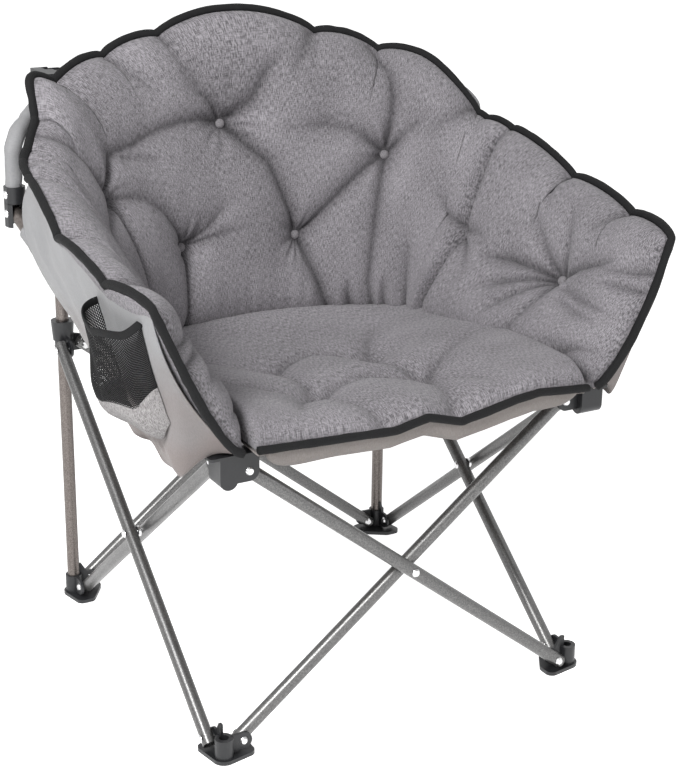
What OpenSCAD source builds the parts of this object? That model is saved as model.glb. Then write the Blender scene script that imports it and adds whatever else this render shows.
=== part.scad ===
// Folding club chair: four crossed pairs of steel tubes on plastic corner fittings, a hinged hoop
// round the back, and a quilted bucket of four padded panels.
// X runs across the seat, -Y is the front, Z is up. The origin lies on the floor, under the middle.

/* [Frame] */
// Distance between the corner sockets, along each of the four sides
foot_spacing = 590; // [570:5:610]
// Outer diameter of the steel tubes
tube_d = 20; // [18:0.5:21]
// Wall of the steel tubes
tube_wall = 1.2; // [1:0.1:2]
// Height of the lower rivets above the floor
foot_pin_z = 23; // [23:0.5:26]
// Height of the upper rivets above the floor
hub_pin_z = 442.5; // [430:2.5:455]
// Distance of each rivet from its corner socket's axis
pin_inset = 30; // [29:0.5:32]
// Length of a leg tube past its rivet
leg_end = 11; // [9:0.5:11]
// Height of the top of the rear uprights
post_top_z = 864; // [860:1:868]
// Drop of the arch hinges below the top of the uprights
arch_pin_drop = 3; // [1:1:6]
// Rise of the top link's hinges above the top of the uprights
link_pin_rise = 63; // [56:1:68]
// Half the distance between the two hinges of the top link
link_half = 35; // [34:0.5:38]

/* [Plastic fittings] */
// Thickness of the plates that the rivets go through
plate_t = 4; // [3:0.5:4.5]
// Side clearance between a plate and its tube
side_gap = 0.4; // [0.3:0.1:0.6]
// Thickness of a foot's pad
pad_t = 6; // [4:0.5:6.5]
// Radius of the boss round a corner socket
boss_r = 13.5; // [12.5:0.5:14]
// Height of the foot's boss above the floor
foot_boss_z = 35; // [30:1:40]
// Bore of the empty front foot sockets
front_socket_d = 14; // [10:0.5:16]
// Height of a hub's top above its rivets
hub_top = 26; // [24:0.5:26]
// Height of a slider's collar above its rivets
slider_top = 40; // [34:1:46]

/* [Rivets] */
// Diameter of a rivet's shank
rivet_d = 6; // [5:0.5:7]
// Diameter of a rivet's head
head_d = 12; // [10:0.5:13]
// Thickness of a rivet's head
head_t = 2.5; // [2:0.1:3]

/* [Arms and hoop] */
// Distance of the elbow's axis from the chair's middle plane
elbow_x = 400; // [395:1:405]
// Distance of the elbow's axis behind the middle
elbow_y = 181; // [178:1:184]
// Drop of the arm's hinge below the top of the uprights
elbow_drop = 169; // [164:1:174]
// Distance of the arm's lower end from the middle plane
arm_end_x = 338; // [337:0.5:342]
// Distance of the arm's lower end in front of the middle
arm_end_y = 270; // [268:1:272]
// Height of the arm's lower end
arm_end_z = 455; // [454:0.5:457]
// Bend radius of the side rail
rail_bend_r = 50; // [40:2:60]
// Drop of the side rail's bend below the top of the uprights
rail_corner_drop = 59; // [54:1:66]

/* [Quilted bucket] */
// Half width of the bucket at the seat seam
seat_half_w = 268; // [262:1:270]
// Half width of the bucket at the rim
rim_half_w = 410; // [402:1:414]
// Y of the seams between the side panels and the back
seam_y = 78; // [72:1:84]
// Depth of the back's curve at the seat seam
back_depth = 160; // [150:1:164]
// Depth of the back's curve at the rim
rim_depth = 232; // [224:1:234]
// Height of the seat seam at the back
seat_seam_z = 452; // [448:1:456]
// Height of the rim at the side seams
seam_rim_z = 762; // [754:1:770]
// Height of the rim at the middle of the back
top_rim_z = 934; // [926:1:940]
// Y of the bucket's front edge
front_y = -341; // [-346:1:-338]
// Crown of the padding on the side that is sat against
pad_crown = 22; // [16:1:24]
// Crown of the padding on the hidden side
pad_rear = 4; // [2:0.5:6]
// Half thickness of the padding at its seams
seam_half_t = 5; // [4:0.5:6]
// Height of the scallops along the rim
scallop = 18; // [8:1:20]
// Sag of the seat in its middle
seat_sag = 34; // [24:1:38]
// Forward bow of the side seams halfway up
seam_bow = 34; // [20:1:38]
// Thickness of the outer fabric
fabric_t = 1.6; // [1.2:0.1:2]
// Diameter of the rim binding
binding_d = 13; // [11:0.5:14]
// Diameter of the covered buttons
button_d = 14; // [12:0.5:16]

/* [Mesh pocket] */
// Length of the pocket's mouth
pocket_l = 144; // [130:2:150]
// Height of the pocket
pocket_h = 116; // [106:2:124]
// How far the pocket bulges from its back
pocket_bulge = 32; // [28:1:36]
// Forward lean of the pocket
pocket_lean = 3; // [0:1:6]

/* [Hidden] */
$fn = 48;

// Small sizes that several pieces share
tube_r = tube_d / 2;
half = foot_spacing / 2;
rivet_gap = 0.05;
head_gap = 0.3;
soft_gap = 0.4;
socket_gap = 0.1;
slide_gap = 0.3;
overrun = 1;
tube_side = plate_t / 2 + side_gap + tube_r;
pin_at = half - pin_inset;
cross_z = (foot_pin_z + hub_pin_z) / 2;
swing_gap = 0.6;
arch_pin_z = post_top_z - arch_pin_drop;
link_pin_z = post_top_z + link_pin_rise;
elbow_z = post_top_z - elbow_drop;
rail_corner_z = post_top_z - rail_corner_drop;

// Colours as they show
black_plastic = [0.06, 0.06, 0.065];
tube_grey = [0.55, 0.54, 0.53];
rivet_white = [0.85, 0.85, 0.86];
quilt_grey = [0.47, 0.45, 0.47];
shell_grey = [0.66, 0.66, 0.68];
binding_black = [0.09, 0.09, 0.1];
mesh_black = [0.1, 0.1, 0.11];

function unit(v) = v / norm(v);
function mix(a, b, t) = a + (b - a) * t;
function fill(t) = 1 - pow(abs(2 * t - 1), 5);
function bump(d, r) = exp(-(d * d) / (r * r));
function smooth(t) = let(c = min(max(t, 0), 1)) c * c * (3 - 2 * c);

module capsule_plate(length, low, high, r) {
    hull() {
        translate([0, -plate_t / 2, low])
            cube([overrun, plate_t, high - low]);
        translate([length, 0, 0])
            rotate([90, 0, 0])
                cylinder(h = plate_t, r = r, center = true);
    }
}

// Rivet along +Z: its shank runs from 0 to len between the undersides of its two heads
module rivet(len) {
    cylinder(h = len, d = rivet_d);
    translate([0, 0, len])
        cylinder(h = head_t, d1 = head_d, d2 = head_d * head_top_share);
    mirror([0, 0, 1])
        cylinder(h = head_t, d1 = head_d, d2 = head_d * head_top_share);
}
head_top_share = 0.72;

module rivet_hole(len) {
    cylinder(h = len, d = rivet_d + 2 * rivet_gap, center = true);
}

// Corner pieces are drawn at the front left corner and turned about the chair's middle
module at_corner(turn) {
    rotate([0, 0, turn])
        translate([-half, -half, 0])
            children();
}

// Feet
foot_plate_r = 13;
ear_z = 52;
ear_w = 7;
pad_corner_r = 17;
pad_end_r = 11;
pad_reach = pin_inset + 6;
socket_floor = 8;

module foot(bore_d) {
    color(black_plastic)
        difference() {
            union() {
                hull() {
                    cylinder(h = pad_t, r = pad_corner_r);
                    translate([pad_reach, tube_side - pad_end_r, 0])
                        cylinder(h = pad_t, r = pad_end_r);
                    translate([pad_reach, tube_side, 0])
                        cylinder(h = pad_t, r = pad_end_r);
                    translate([-tube_side, pad_reach, 0])
                        cylinder(h = pad_t, r = pad_end_r);
                    translate([0, pad_reach, 0])
                        cylinder(h = pad_t, r = pad_end_r);
                }
                cylinder(h = foot_boss_z, r = boss_r);
                translate([0, 0, foot_pin_z])
                    capsule_plate(pin_inset, pad_t - foot_pin_z - overrun, foot_boss_z - foot_pin_z,
                        foot_plate_r);
                translate([0, 0, foot_pin_z])
                    rotate([0, 0, 90])
                        capsule_plate(pin_inset, pad_t - foot_pin_z - overrun,
                            foot_boss_z - foot_pin_z, foot_plate_r);
                hull() {
                    translate([-plate_t / 2, boss_r - ear_w, foot_boss_z - overrun])
                        cube([plate_t, ear_w, ear_z - foot_boss_z + overrun]);
                    translate([-plate_t / 2, boss_r - ear_w, foot_pin_z])
                        cube([plate_t, pin_inset - boss_r + ear_w, overrun]);
                }
            }
            translate([0, 0, socket_floor])
                cylinder(h = ear_z, d = bore_d);
            translate([pin_inset, 0, foot_pin_z])
                rotate([90, 0, 0])
                    rivet_hole(plate_t + 2 * overrun);
            translate([0, pin_inset, foot_pin_z])
                rotate([0, 90, 0])
                    rivet_hole(plate_t + 2 * overrun);
        }
}

// The two rivets of a foot: one holds the inner tube along X, the other the outer tube along Y
module foot_rivets() {
    rivet_len = plate_t / 2 + tube_side + tube_r + head_gap;
    color(rivet_white) {
        translate([pin_inset, -plate_t / 2, foot_pin_z])
            rotate([-90, 0, 0])
                rivet(rivet_len);
        translate([plate_t / 2, pin_inset, foot_pin_z])
            rotate([0, -90, 0])
                rivet(rivet_len);
    }
}

// Leg tubes, drawn along +Z from the lower rivet with their holes along X
leg_rise = hub_pin_z - foot_pin_z;
leg_run = 2 * pin_at;
leg_len = sqrt(leg_rise * leg_rise + leg_run * leg_run);
leg_lean = atan2(leg_run, leg_rise);

module tube(len) {
    difference() {
        cylinder(h = len, d = tube_d);
        translate([0, 0, -overrun])
            cylinder(h = len + 2 * overrun, d = tube_d - 2 * tube_wall);
    }
}

module leg() {
    color(tube_grey)
        difference() {
            translate([0, 0, -leg_end])
                tube(leg_len + 2 * leg_end);
            for (at = [0, leg_len / 2, leg_len])
                translate([0, 0, at])
                    rotate([0, 90, 0])
                        rivet_hole(tube_d + 2 * overrun);
        }
}

// A leg of the side that turn brings to the front: inner ones rise to the right, outer ones to the left
module leg_inner(turn) {
    rotate([0, 0, turn])
        translate([-pin_at, -half + tube_side, foot_pin_z])
            rotate([0, leg_lean, 0])
                rotate([0, 0, 90])
                    leg();
}

module leg_outer(turn) {
    rotate([0, 0, turn])
        translate([pin_at, -half - tube_side, foot_pin_z])
            rotate([0, -leg_lean, 0])
                rotate([0, 0, 90])
                    leg();
}

// Rivet and spacer where the two tubes of a side cross
spacer_d = 16;
module cross_rivet(turn) {
    reach = tube_side + tube_r + head_gap;
    rotate([0, 0, turn])
        translate([0, -half, cross_z])
            rotate([90, 0, 0])
                color(rivet_white) {
                    translate([0, 0, -reach])
                        rivet(2 * reach);
                    difference() {
                        cylinder(h = plate_t, d = spacer_d, center = true);
                        rivet_hole(plate_t + 2 * overrun);
                    }
                }
}

// Rear uprights: a plain tube from the foot's socket to the bracket
module upright(side) {
    color(tube_grey)
        translate([side * half, half, socket_floor])
            tube(post_top_z - socket_floor);
}

// Front hubs, drawn at the front left corner: an outer tube meets them along X, an inner one along Y
hub_plate_r = 14;
hub_low = 22;
web_gap = 16.2;
hub_front = tube_side + tube_r + side_gap + plate_t;
hub_block = 13;
hub_end = pin_inset + hub_plate_r;
ledge_reach = 22;
saddle_wall = 4;
saddle_l = 26;

arm_vector = [arm_end_x - elbow_x, elbow_y + arm_end_y, elbow_z - arm_end_z];
arm_run = sqrt(arm_vector[0] * arm_vector[0] + arm_vector[1] * arm_vector[1]);
arm_len = norm(arm_vector);
arm_dip = atan2(arm_vector[2], arm_run);
arm_turn = atan2(-arm_vector[1], -arm_vector[0]);
arm_end_over = 8;

module hub() {
    color(black_plastic)
        difference() {
            union() {
                // corner block with its rounded lower lobe
                translate([-hub_block, -hub_front, -hub_low + hub_block])
                    cube([2 * hub_block, hub_front + hub_block - ledge_gap, hub_top + hub_low - hub_block]);
                translate([0, -hub_front, -hub_low + hub_block])
                    rotate([-90, 0, 0])
                        cylinder(h = hub_front + hub_block - ledge_gap, r = hub_block);
                // plate in front of the outer tube
                translate([0, plate_t / 2 - hub_front, 0])
                    hub_plate();
                // plate outside the inner tube
                rotate([0, 0, 90])
                    hub_plate();
                // webs that close the two channels from above
                translate([0, -hub_front, web_gap])
                    cube([hub_end, hub_front + plate_t / 2, hub_top - web_gap]);
                translate([-plate_t / 2, 0, web_gap])
                    cube([hub_front + plate_t / 2, hub_end, hub_top - web_gap]);
                // ledge that points away from the seat
                hull() {
                    translate([-ledge_reach, -ledge_reach, hub_top - plate_t])
                        cylinder(h = plate_t, r = ledge_r);
                    translate([-ledge_reach, 0, hub_top - plate_t])
                        cylinder(h = plate_t, r = ledge_r);
                    translate([0, -ledge_reach, hub_top - plate_t])
                        cylinder(h = plate_t, r = ledge_r);
                    translate([0, 0, hub_top - plate_t])
                        cylinder(h = plate_t, r = ledge_r);
                }
            }
            translate([pin_inset, plate_t / 2 - hub_front, 0])
                rotate([90, 0, 0])
                    rivet_hole(plate_t + 2 * overrun);
            translate([0, pin_inset, 0])
                rotate([0, 90, 0])
                    rivet_hole(plate_t + 2 * overrun);
        }
}
ledge_r = 5;
ledge_gap = 3;

module hub_plate() {
    translate([0, -plate_t / 2, -hub_plate_r])
        cube([pin_inset, plate_t, hub_plate_r + hub_top]);
    translate([0, -plate_t / 2, 0])
        cube([hub_end, plate_t, hub_top]);
    translate([pin_inset, 0, 0])
        rotate([90, 0, 0])
            cylinder(h = plate_t, r = hub_plate_r, center = true);
}

// Rest for the left arm's lower end, placed from the front left corner
rest_l = 20;
module arm_rest() {
    rest_x = half - arm_end_x;
    color(black_plastic) {
        translate([rest_x, half - arm_end_y, arm_end_z - hub_pin_z])
            rotate([0, 0, arm_turn])
                rotate([0, arm_dip, 0])
                    saddle();
        translate([rest_x + tube_r + swing_gap + saddle_wall / 2, half - arm_end_y, web_gap])
            cube([-rest_x - tube_r, rest_l, hub_top - web_gap]);
    }
}

// Half shell over the arm tube, drawn with the tube running from the elbow along +X to its end
module saddle() {
    difference() {
        translate([-saddle_l, 0, 0])
            rotate([0, 90, 0])
                cylinder(h = saddle_l, r = tube_r + swing_gap + saddle_wall);
        translate([-saddle_l - overrun, 0, 0])
            rotate([0, 90, 0])
                cylinder(h = saddle_l + 2 * overrun, r = tube_r + swing_gap);
        translate([-saddle_l - overrun, -tube_d, -2 * tube_d])
            cube([saddle_l + 2 * overrun, 2 * tube_d, 2 * tube_d]);
    }
}

module hub_rivets() {
    color(rivet_white) {
        translate([pin_inset, -hub_front, 0])
            rotate([-90, 0, 0])
                rivet(plate_t + side_gap + tube_d + head_gap);
        translate([-plate_t / 2, pin_inset, 0])
            rotate([0, 90, 0])
                rivet(plate_t + side_gap + tube_d + head_gap);
    }
}

// Sliders on the uprights, drawn at the front left corner like the hubs
slider_low = 13;
slider_flare = 5;
slider_neck = 8;

module slider() {
    color(black_plastic)
        difference() {
            union() {
                translate([0, 0, -slider_low])
                    cylinder(h = slider_low + slider_top, r = boss_r);
                translate([0, 0, slider_neck])
                    cylinder(h = slider_top - slider_neck, r1 = boss_r + slider_flare / 2,
                        r2 = boss_r + slider_flare);
                capsule_plate(pin_inset, -slider_low, slider_top / 2, foot_plate_r);
                rotate([0, 0, 90])
                    capsule_plate(pin_inset, -slider_low, slider_top / 2, foot_plate_r);
            }
            translate([0, 0, -slider_low - overrun])
                cylinder(h = slider_low + slider_top + 2 * overrun, d = tube_d + 2 * slide_gap);
            translate([pin_inset, 0, 0])
                rotate([90, 0, 0])
                    rivet_hole(plate_t + 2 * overrun);
            translate([0, pin_inset, 0])
                rotate([0, 90, 0])
                    rivet_hole(plate_t + 2 * overrun);
        }
}

module slider_rivets() {
    rivet_len = plate_t / 2 + tube_side + tube_r + head_gap;
    color(rivet_white) {
        translate([pin_inset, plate_t / 2, 0])
            rotate([90, 0, 0])
                rivet(rivet_len);
        translate([-plate_t / 2, pin_inset, 0])
            rotate([0, 90, 0])
                rivet(rivet_len);
    }
}

// Upright brackets, drawn on the left: a cap on the upright, a fork for the arch, a socket for the rail
arch_off = 43;
arch_y = half + arch_off;
cheek_t = 3.5;
cheek_at = tube_r + side_gap + cheek_t;
bracket_low = 26;
bracket_cap = 12;
arch_end = 9;
arch_clear = 14.2;
fork_r = 13;
rail_run = [half - elbow_x, half - elbow_y];
rail_heading = atan2(half - elbow_y, elbow_x - half);
rail_flat = norm(rail_run);
rail_rise = post_top_z - bracket_low / 2 - rail_corner_z;
rail_lean = atan2(rail_flat, rail_rise);
rail_tangent = rail_bend_r * tan(rail_lean / 2);
rail_slope_len = norm([rail_flat, rail_rise]) - rail_tangent - boss_r - 1.5 * rivet_d;
elbow_roof = 14.5;
rail_low = elbow_z + elbow_roof + cheek_t / 2;

module bracket() {
    color(black_plastic)
        difference() {
            union() {
                translate([-half, half, post_top_z - bracket_low])
                    cylinder(h = bracket_low + bracket_cap, r = boss_r);
                translate([-half - boss_r, half, post_top_z - bracket_low])
                    cube([2 * boss_r, arch_y - half + cheek_at, bracket_low + bracket_cap]);
                for (side = [-1, 1])
                    translate([-pin_at, arch_y + side * (cheek_at - cheek_t / 2), arch_pin_z])
                        hull() {
                            rotate([90, 0, 0])
                                cylinder(h = cheek_t, r = fork_r, center = true);
                            translate([-pin_inset, 0, 0])
                                cube([cheek_t, cheek_t, 2 * fork_r], center = true);
                        }
                translate([-elbow_x, elbow_y, rail_corner_z])
                    rotate([0, rail_lean, rail_heading])
                        translate([0, 0, rail_tangent + rail_slope_len - rail_grip])
                            cylinder(h = boss_r + rail_grip, r = boss_r);
            }
            translate([-half, half, post_top_z - bracket_low - boss_r])
                cylinder(h = bracket_low + boss_r, d = tube_d + 2 * socket_gap);
            translate([-half + boss_r - arch_pocket, arch_y - tube_r - side_gap, 0])
                cube([half, tube_d + 2 * side_gap, top_rim_z]);
            translate([-elbow_x, elbow_y, rail_corner_z])
                rotate([0, rail_lean, rail_heading])
                    cylinder(h = rail_tangent + rail_slope_len, d = tube_d + 2 * socket_gap);
            translate([-pin_at, arch_y, arch_pin_z])
                rotate([90, 0, 0])
                    rivet_hole(2 * cheek_at + 2 * overrun);
        }
}
rail_grip = 16;
arch_pocket = 2 * boss_r + arch_clear - pin_inset;

// Side rails: up from the elbow, round one bend and across to the bracket
rail_bend_steps = 10;
rail_sides = 24;
rail_path = concat([[0, 0, rail_low]],
    [for (i = [0:rail_bend_steps]) let(a = rail_lean * i / rail_bend_steps)
        [rail_bend_r * (1 - cos(a)), 0, rail_corner_z - rail_tangent + rail_bend_r * sin(a)]],
    [[(rail_tangent + rail_slope_len - socket_gap) * sin(rail_lean), 0,
        rail_corner_z + (rail_tangent + rail_slope_len - socket_gap) * cos(rail_lean)]]);

module side_rail() {
    color(tube_grey)
        translate([-elbow_x, elbow_y, 0])
            rotate([0, 0, rail_heading])
                cord(rail_path, [for (p = rail_path) [0, 1, 0]], tube_r, rail_sides);
}

// Elbows: a collar on the rail over a cup that is open in front and below for the arm
elbow_r = 16;
elbow_low = 20;
elbow_collar = 40;
elbow_flat = 15;
elbow_back = 13.3;
groove_w = 1.2;

module elbow() {
    color(black_plastic)
        translate([-elbow_x, elbow_y, elbow_z])
            rotate([0, 0, arm_turn])
                difference() {
                    translate([0, 0, -elbow_low])
                        cylinder(h = elbow_low + elbow_collar, r = elbow_r);
                    for (side = [-1, 1])
                        translate([-elbow_r, side * (elbow_flat + elbow_r) - elbow_r, -elbow_low - overrun])
                            cube([2 * elbow_r, 2 * elbow_r, elbow_low + elbow_collar + 2 * overrun]);
                    translate([-elbow_back, -tube_r - side_gap, -elbow_low - overrun])
                        cube([2 * elbow_r, tube_d + 2 * side_gap, elbow_low + overrun + elbow_roof]);
                    translate([0, 0, rail_low - elbow_z - socket_gap])
                        cylinder(h = elbow_collar, d = tube_d + 2 * socket_gap);
                    difference() {
                        translate([0, 0, elbow_roof])
                            cylinder(h = groove_w, r = elbow_r + overrun);
                        translate([0, 0, elbow_roof - overrun])
                            cylinder(h = groove_w + 2 * overrun, r = elbow_r - groove_w);
                    }
                    for (z = [0, elbow_rivet_z])
                        translate([0, 0, z])
                            rotate([90, 0, 0])
                                rivet_hole(2 * elbow_r + 2 * overrun);
                }
}
elbow_rivet_z = 28;

// Rivets of an elbow and a bracket
module post_rivets() {
    color(rivet_white) {
        translate([-elbow_x, elbow_y, elbow_z])
            rotate([0, 0, arm_turn])
                rotate([90, 0, 0])
                    translate([0, 0, -elbow_flat])
                        rivet(2 * elbow_flat);
        for (side = [-1, 1])
            translate([-elbow_x, elbow_y, elbow_z + elbow_rivet_z])
                rotate([0, 0, arm_turn])
                    rotate([side * 90, 0, 0])
                        translate([0, 0, tube_r + socket_gap])
                            blind_rivet(elbow_flat - tube_r - socket_gap);
        translate([-pin_at, arch_y + cheek_at, arch_pin_z])
            rotate([90, 0, 0])
                rivet(2 * cheek_at);
    }
}

// Short rivet with its head at the far end only
module blind_rivet(len) {
    cylinder(h = len, d = rivet_d);
    translate([0, 0, len])
        cylinder(h = head_t, d1 = head_d, d2 = head_d * head_top_share);
}

// Arm tubes, drawn along +X from the elbow's hinge and then placed on the left
module arm_frame() {
    translate([-elbow_x, elbow_y, elbow_z])
        rotate([0, 0, arm_turn])
            rotate([0, arm_dip, 0])
                children();
}

module arm_tube() {
    color(tube_grey)
        arm_frame()
            difference() {
                translate([-arm_end_over, 0, 0])
                    rotate([0, 90, 0])
                        tube(arm_len + arm_end_over);
                rotate([90, 0, 0])
                    rivet_hole(tube_d + 2 * overrun);
            }
}

// Fabric sleeve round an arm tube
sleeve_from = 46;
sleeve_to = 40;
module arm_sleeve() {
    color(shell_grey)
        arm_frame()
            translate([sleeve_from, 0, 0])
                rotate([0, 90, 0])
                    difference() {
                        cylinder(h = arm_len - sleeve_from - sleeve_to,
                            r = tube_r + soft_gap / 2 + fabric_t);
                        translate([0, 0, -overrun])
                            cylinder(h = arm_len, r = tube_r + soft_gap / 2);
                    }
}

// Arch tubes, from the bracket up to the top link
arch_run = pin_at - link_half;
arch_rise = link_pin_z - arch_pin_z;
arch_len = norm([arch_run, arch_rise]);
arch_lean = atan2(arch_run, arch_rise);

module arch_tube() {
    color(tube_grey)
        translate([-pin_at, arch_y, arch_pin_z])
            rotate([0, arch_lean, 0])
                difference() {
                    translate([0, 0, -arch_end])
                        tube(arch_len + 2 * arch_end);
                    for (z = [0, arch_len])
                        translate([0, 0, z])
                            rotate([90, 0, 0])
                                rivet_hole(tube_d + 2 * overrun);
                }
}

// Top link: a channel open below, with a plain hole on the left and a slot on the right
link_reach = 12;
link_web = 15;
link_low = 9;
slot_len = 37;

module top_link() {
    color(black_plastic)
        translate([0, arch_y, link_pin_z])
            difference() {
                translate([-link_half - link_reach, -cheek_at, -link_low])
                    cube([2 * (link_half + link_reach), 2 * cheek_at, link_low + link_web + cheek_t]);
                translate([-link_half - link_reach - overrun, -tube_r - side_gap, -link_low - overrun])
                    cube([2 * (link_half + link_reach + overrun), tube_d + 2 * side_gap,
                        link_low + overrun + link_web]);
                translate([-link_half, 0, 0])
                    rotate([90, 0, 0])
                        rivet_hole(2 * cheek_at + 2 * overrun);
                for (x = [link_half - slot_len, link_half])
                    translate([x, 0, 0])
                        rotate([90, 0, 0])
                            cylinder(h = 2 * cheek_at + 2 * overrun, d = slot_w, center = true);
                translate([link_half - slot_len, -cheek_at - overrun, -slot_w / 2])
                    cube([slot_len, 2 * (cheek_at + overrun), slot_w]);
            }
}
slot_w = rivet_d + 0.6;

module top_link_pin(side) {
    color(rivet_white)
        translate([side * link_half, arch_y + cheek_at + soft_gap / 2, link_pin_z])
            rotate([90, 0, 0])
                rivet(2 * cheek_at + soft_gap);
}

// Solids made from two matching grids of points, each a list of columns
function grid_faces(nu, nv, first, flip) = [for (i = [0:nu - 1], j = [0:nv - 1], k = [0, 1])
    let(a = first + i * (nv + 1) + j, b = a + nv + 1,
        t = k == 0 ? [a, b, b + 1] : [a, b + 1, a + 1])
    flip ? [t[2], t[1], t[0]] : t];

function edge_faces(ring, shift) = [for (i = [0:len(ring) - 1], k = [0, 1])
    let(a = ring[i], b = ring[(i + 1) % len(ring)])
    k == 0 ? [a, a + shift, b + shift] : [a, b + shift, b]];

function ring_of(nu, nv) = concat([for (i = [0:nu]) i * (nv + 1)],
    [for (j = [1:nv]) nu * (nv + 1) + j],
    [for (i = [1:nu]) (nu - i) * (nv + 1) + nv],
    [for (j = [1:nv - 1]) nv - j]);

module panel(near, far) {
    nu = len(near) - 1;
    nv = len(near[0]) - 1;
    count = (nu + 1) * (nv + 1);
    polyhedron(points = concat([for (c = near, p = c) p], [for (c = far, p = c) p]),
        faces = concat(grid_faces(nu, nv, 0, false), grid_faces(nu, nv, count, true),
            edge_faces(ring_of(nu, nv), count)));
}

// Round cord swept along points, with a side direction given for each point
function cord_ring(path, ups, i, r, sides) =
    let(t = unit(path[min(i + 1, len(path) - 1)] - path[max(i - 1, 0)]),
        a = unit(cross(t, ups[i])),
        b = cross(a, t))
    [for (k = [0:sides - 1]) path[i] + r * (cos(360 * k / sides) * a + sin(360 * k / sides) * b)];

module cord(path, ups, r, sides) {
    n = len(path);
    polyhedron(points = [for (i = [0:n - 1], p = cord_ring(path, ups, i, r, sides)) p],
        faces = concat([[for (k = [0:sides - 1]) sides - 1 - k]],
            [[for (k = [0:sides - 1]) (n - 1) * sides + k]],
            [for (i = [0:n - 2], k = [0:sides - 1], h = [0, 1])
                let(a = i * sides + k, b = i * sides + (k + 1) % sides)
                h == 0 ? [a, b + sides, a + sides] : [a, b, b + sides]]));
}

// Back panel: angle th runs from -90 at the left seam to 90 at the right, share v from seat to rim
flare_power = 1.7;
rim_power = 0.8;
rim_reach = 80;
rim_soft = 3;
rim_square_share = 0.77;
rim_swell_power = 8;
valleys = [15, 30, 75];
mid_lobe_share = 0.5;
rail_tuck = 22;
rail_tuck_th = 66;
rail_tuck_reach = 15;
back_columns = 24;
back_rows = 14;
binding_sides = 8;
step_th = 0.5;
step_share = 0.01;

function lobe_swell(a, low, high) = a < low || a > high ? 0 : sin(180 * (a - low) / (high - low));
function back_lobe(th) = let(a = abs(th))
    lobe_swell(a, -valleys[0], valleys[0]) + mid_lobe_share * lobe_swell(a, valleys[0], valleys[1])
        + lobe_swell(a, valleys[1], valleys[2]) + mid_lobe_share * lobe_swell(a, valleys[2], 90);
function back_rim_z(th) = let(a = sqrt(th * th + rim_soft * rim_soft))
    seam_rim_z + (top_rim_z - seam_rim_z) * pow(max(1 - a / rim_reach, 0), rim_power);
function seam_forward(v) = seam_y - seam_bow * pow(sin(180 * v), 1.5);
function squared(c, e) = sign(c) * pow(abs(c), e);
function back_mid(th, v) = let(s = pow(v, flare_power), e = mix(1, rim_square_share, s),
        tuck = rail_tuck * bump(abs(th) - rail_tuck_th, rail_tuck_reach) * pow(v, 4))
    [mix(seat_half_w, rim_half_w, s) * squared(sin(th), e) - tuck * sin(th),
        mix(seam_forward(v), seam_y + mix(back_depth, rim_depth, s), squared(cos(th), e)) - tuck * cos(th),
        mix(seat_seam_z, back_rim_z(th), v) + scallop * back_lobe(th) * pow(v, rim_swell_power)];
function back_along(th, v) = let(b = th < 0 ? th + step_th : th)
    (back_mid(b, v) - back_mid(b - step_th, v)) / step_th;
function back_up(th, v) = let(b = v < 1 - step_share ? v + step_share : v)
    unit(back_mid(th, b) - back_mid(th, b - step_share));
function back_in(th, v) = unit(cross(back_along(th, v), back_up(th, v)));

// Tufts of the back, as angle and share, and the reach of one dimple
back_tuft_places = [[0, 10 / back_rows], [-45, 9 / back_rows], [45, 9 / back_rows],
    [-22.5, 4 / back_rows], [22.5, 4 / back_rows]];
tuft_r = 62;
tuft_depth_share = 0.8;
back_arc_r = 330;
back_height = top_rim_z - seat_seam_z;
function back_tuft_mm(th, v, p) = norm([(th - p[0]) * PI / 180 * back_arc_r, (v - p[1]) * back_height]);
function back_pinch(th, v, i = 0) = i == len(back_tuft_places) ? 1
    : (1 - tuft_depth_share * bump(back_tuft_mm(th, v, back_tuft_places[i]), tuft_r))
        * back_pinch(th, v, i + 1);
function back_front_t(th, v) = seam_half_t
    + pad_crown * fill(v) * fill((th + 90) / 180) * back_pinch(th, v);
function back_rear_t(th, v) = seam_half_t + pad_rear * fill(v) * fill((th + 90) / 180);
function back_th(i, n) = -90 + 180 * i / n;
function back_sheet(nu, nv, off, slack = 0) = [for (i = [0:nu]) [for (j = [0:nv])
    let(th = back_th(i, nu), v = j / nv)
    back_mid(th, v) - back_in(th, v) * (back_rear_t(th, v) + off + slack * fill(v))]];
function back_face(nu, nv) = [for (i = [0:nu]) [for (j = [0:nv])
    let(th = back_th(i, nu), v = j / nv)
    back_mid(th, v) + back_in(th, v) * back_front_t(th, v)]];

module back_cushion() {
    color(quilt_grey)
        panel(back_sheet(back_columns, back_rows, 0), back_face(back_columns, back_rows));
}

module back_shell() {
    color(shell_grey)
        panel(back_sheet(back_columns, back_rows / 2, soft_gap + shell_gap + fabric_t, shell_slack),
            back_sheet(back_columns, back_rows / 2, soft_gap + shell_gap, shell_slack));
}
skin_gap = 0.5;
shell_gap = 1.6;
shell_slack = 2.5;

module back_binding() {
    n = back_columns;
    color(binding_black)
        cord([for (i = [0:n]) back_edge_place(i, n)],
            [for (i = [0:n]) back_in(back_th(i, n), 1)],
            binding_d / 2, binding_sides);
}
binding_inset_share = 0.25;
function back_edge(i, n) = let(th = back_th(i, n))
    back_mid(th, 1) + back_up(th, 1) * (binding_d / 2 + 4 * soft_gap);
function back_edge_place(i, n) = i == 0 ? mix(back_edge(0, n), back_edge(1, n), binding_inset_share)
    : i == n ? mix(back_edge(n, n), back_edge(n - 1, n), binding_inset_share) : back_edge(i, n);

button_t = 3;
button_edge_share = 0.7;
module button_at(p, dir, lift) {
    tilt = acos(dir[2]);
    head = atan2(dir[1], dir[0]);
    color(quilt_grey)
        translate(p + dir * lift)
            rotate([0, tilt, head]) {
                cylinder(h = button_t / 2, d = button_d);
                translate([0, 0, button_t / 2])
                    cylinder(h = button_t / 2, d1 = button_d, d2 = button_d * button_edge_share);
            }
}

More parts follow.
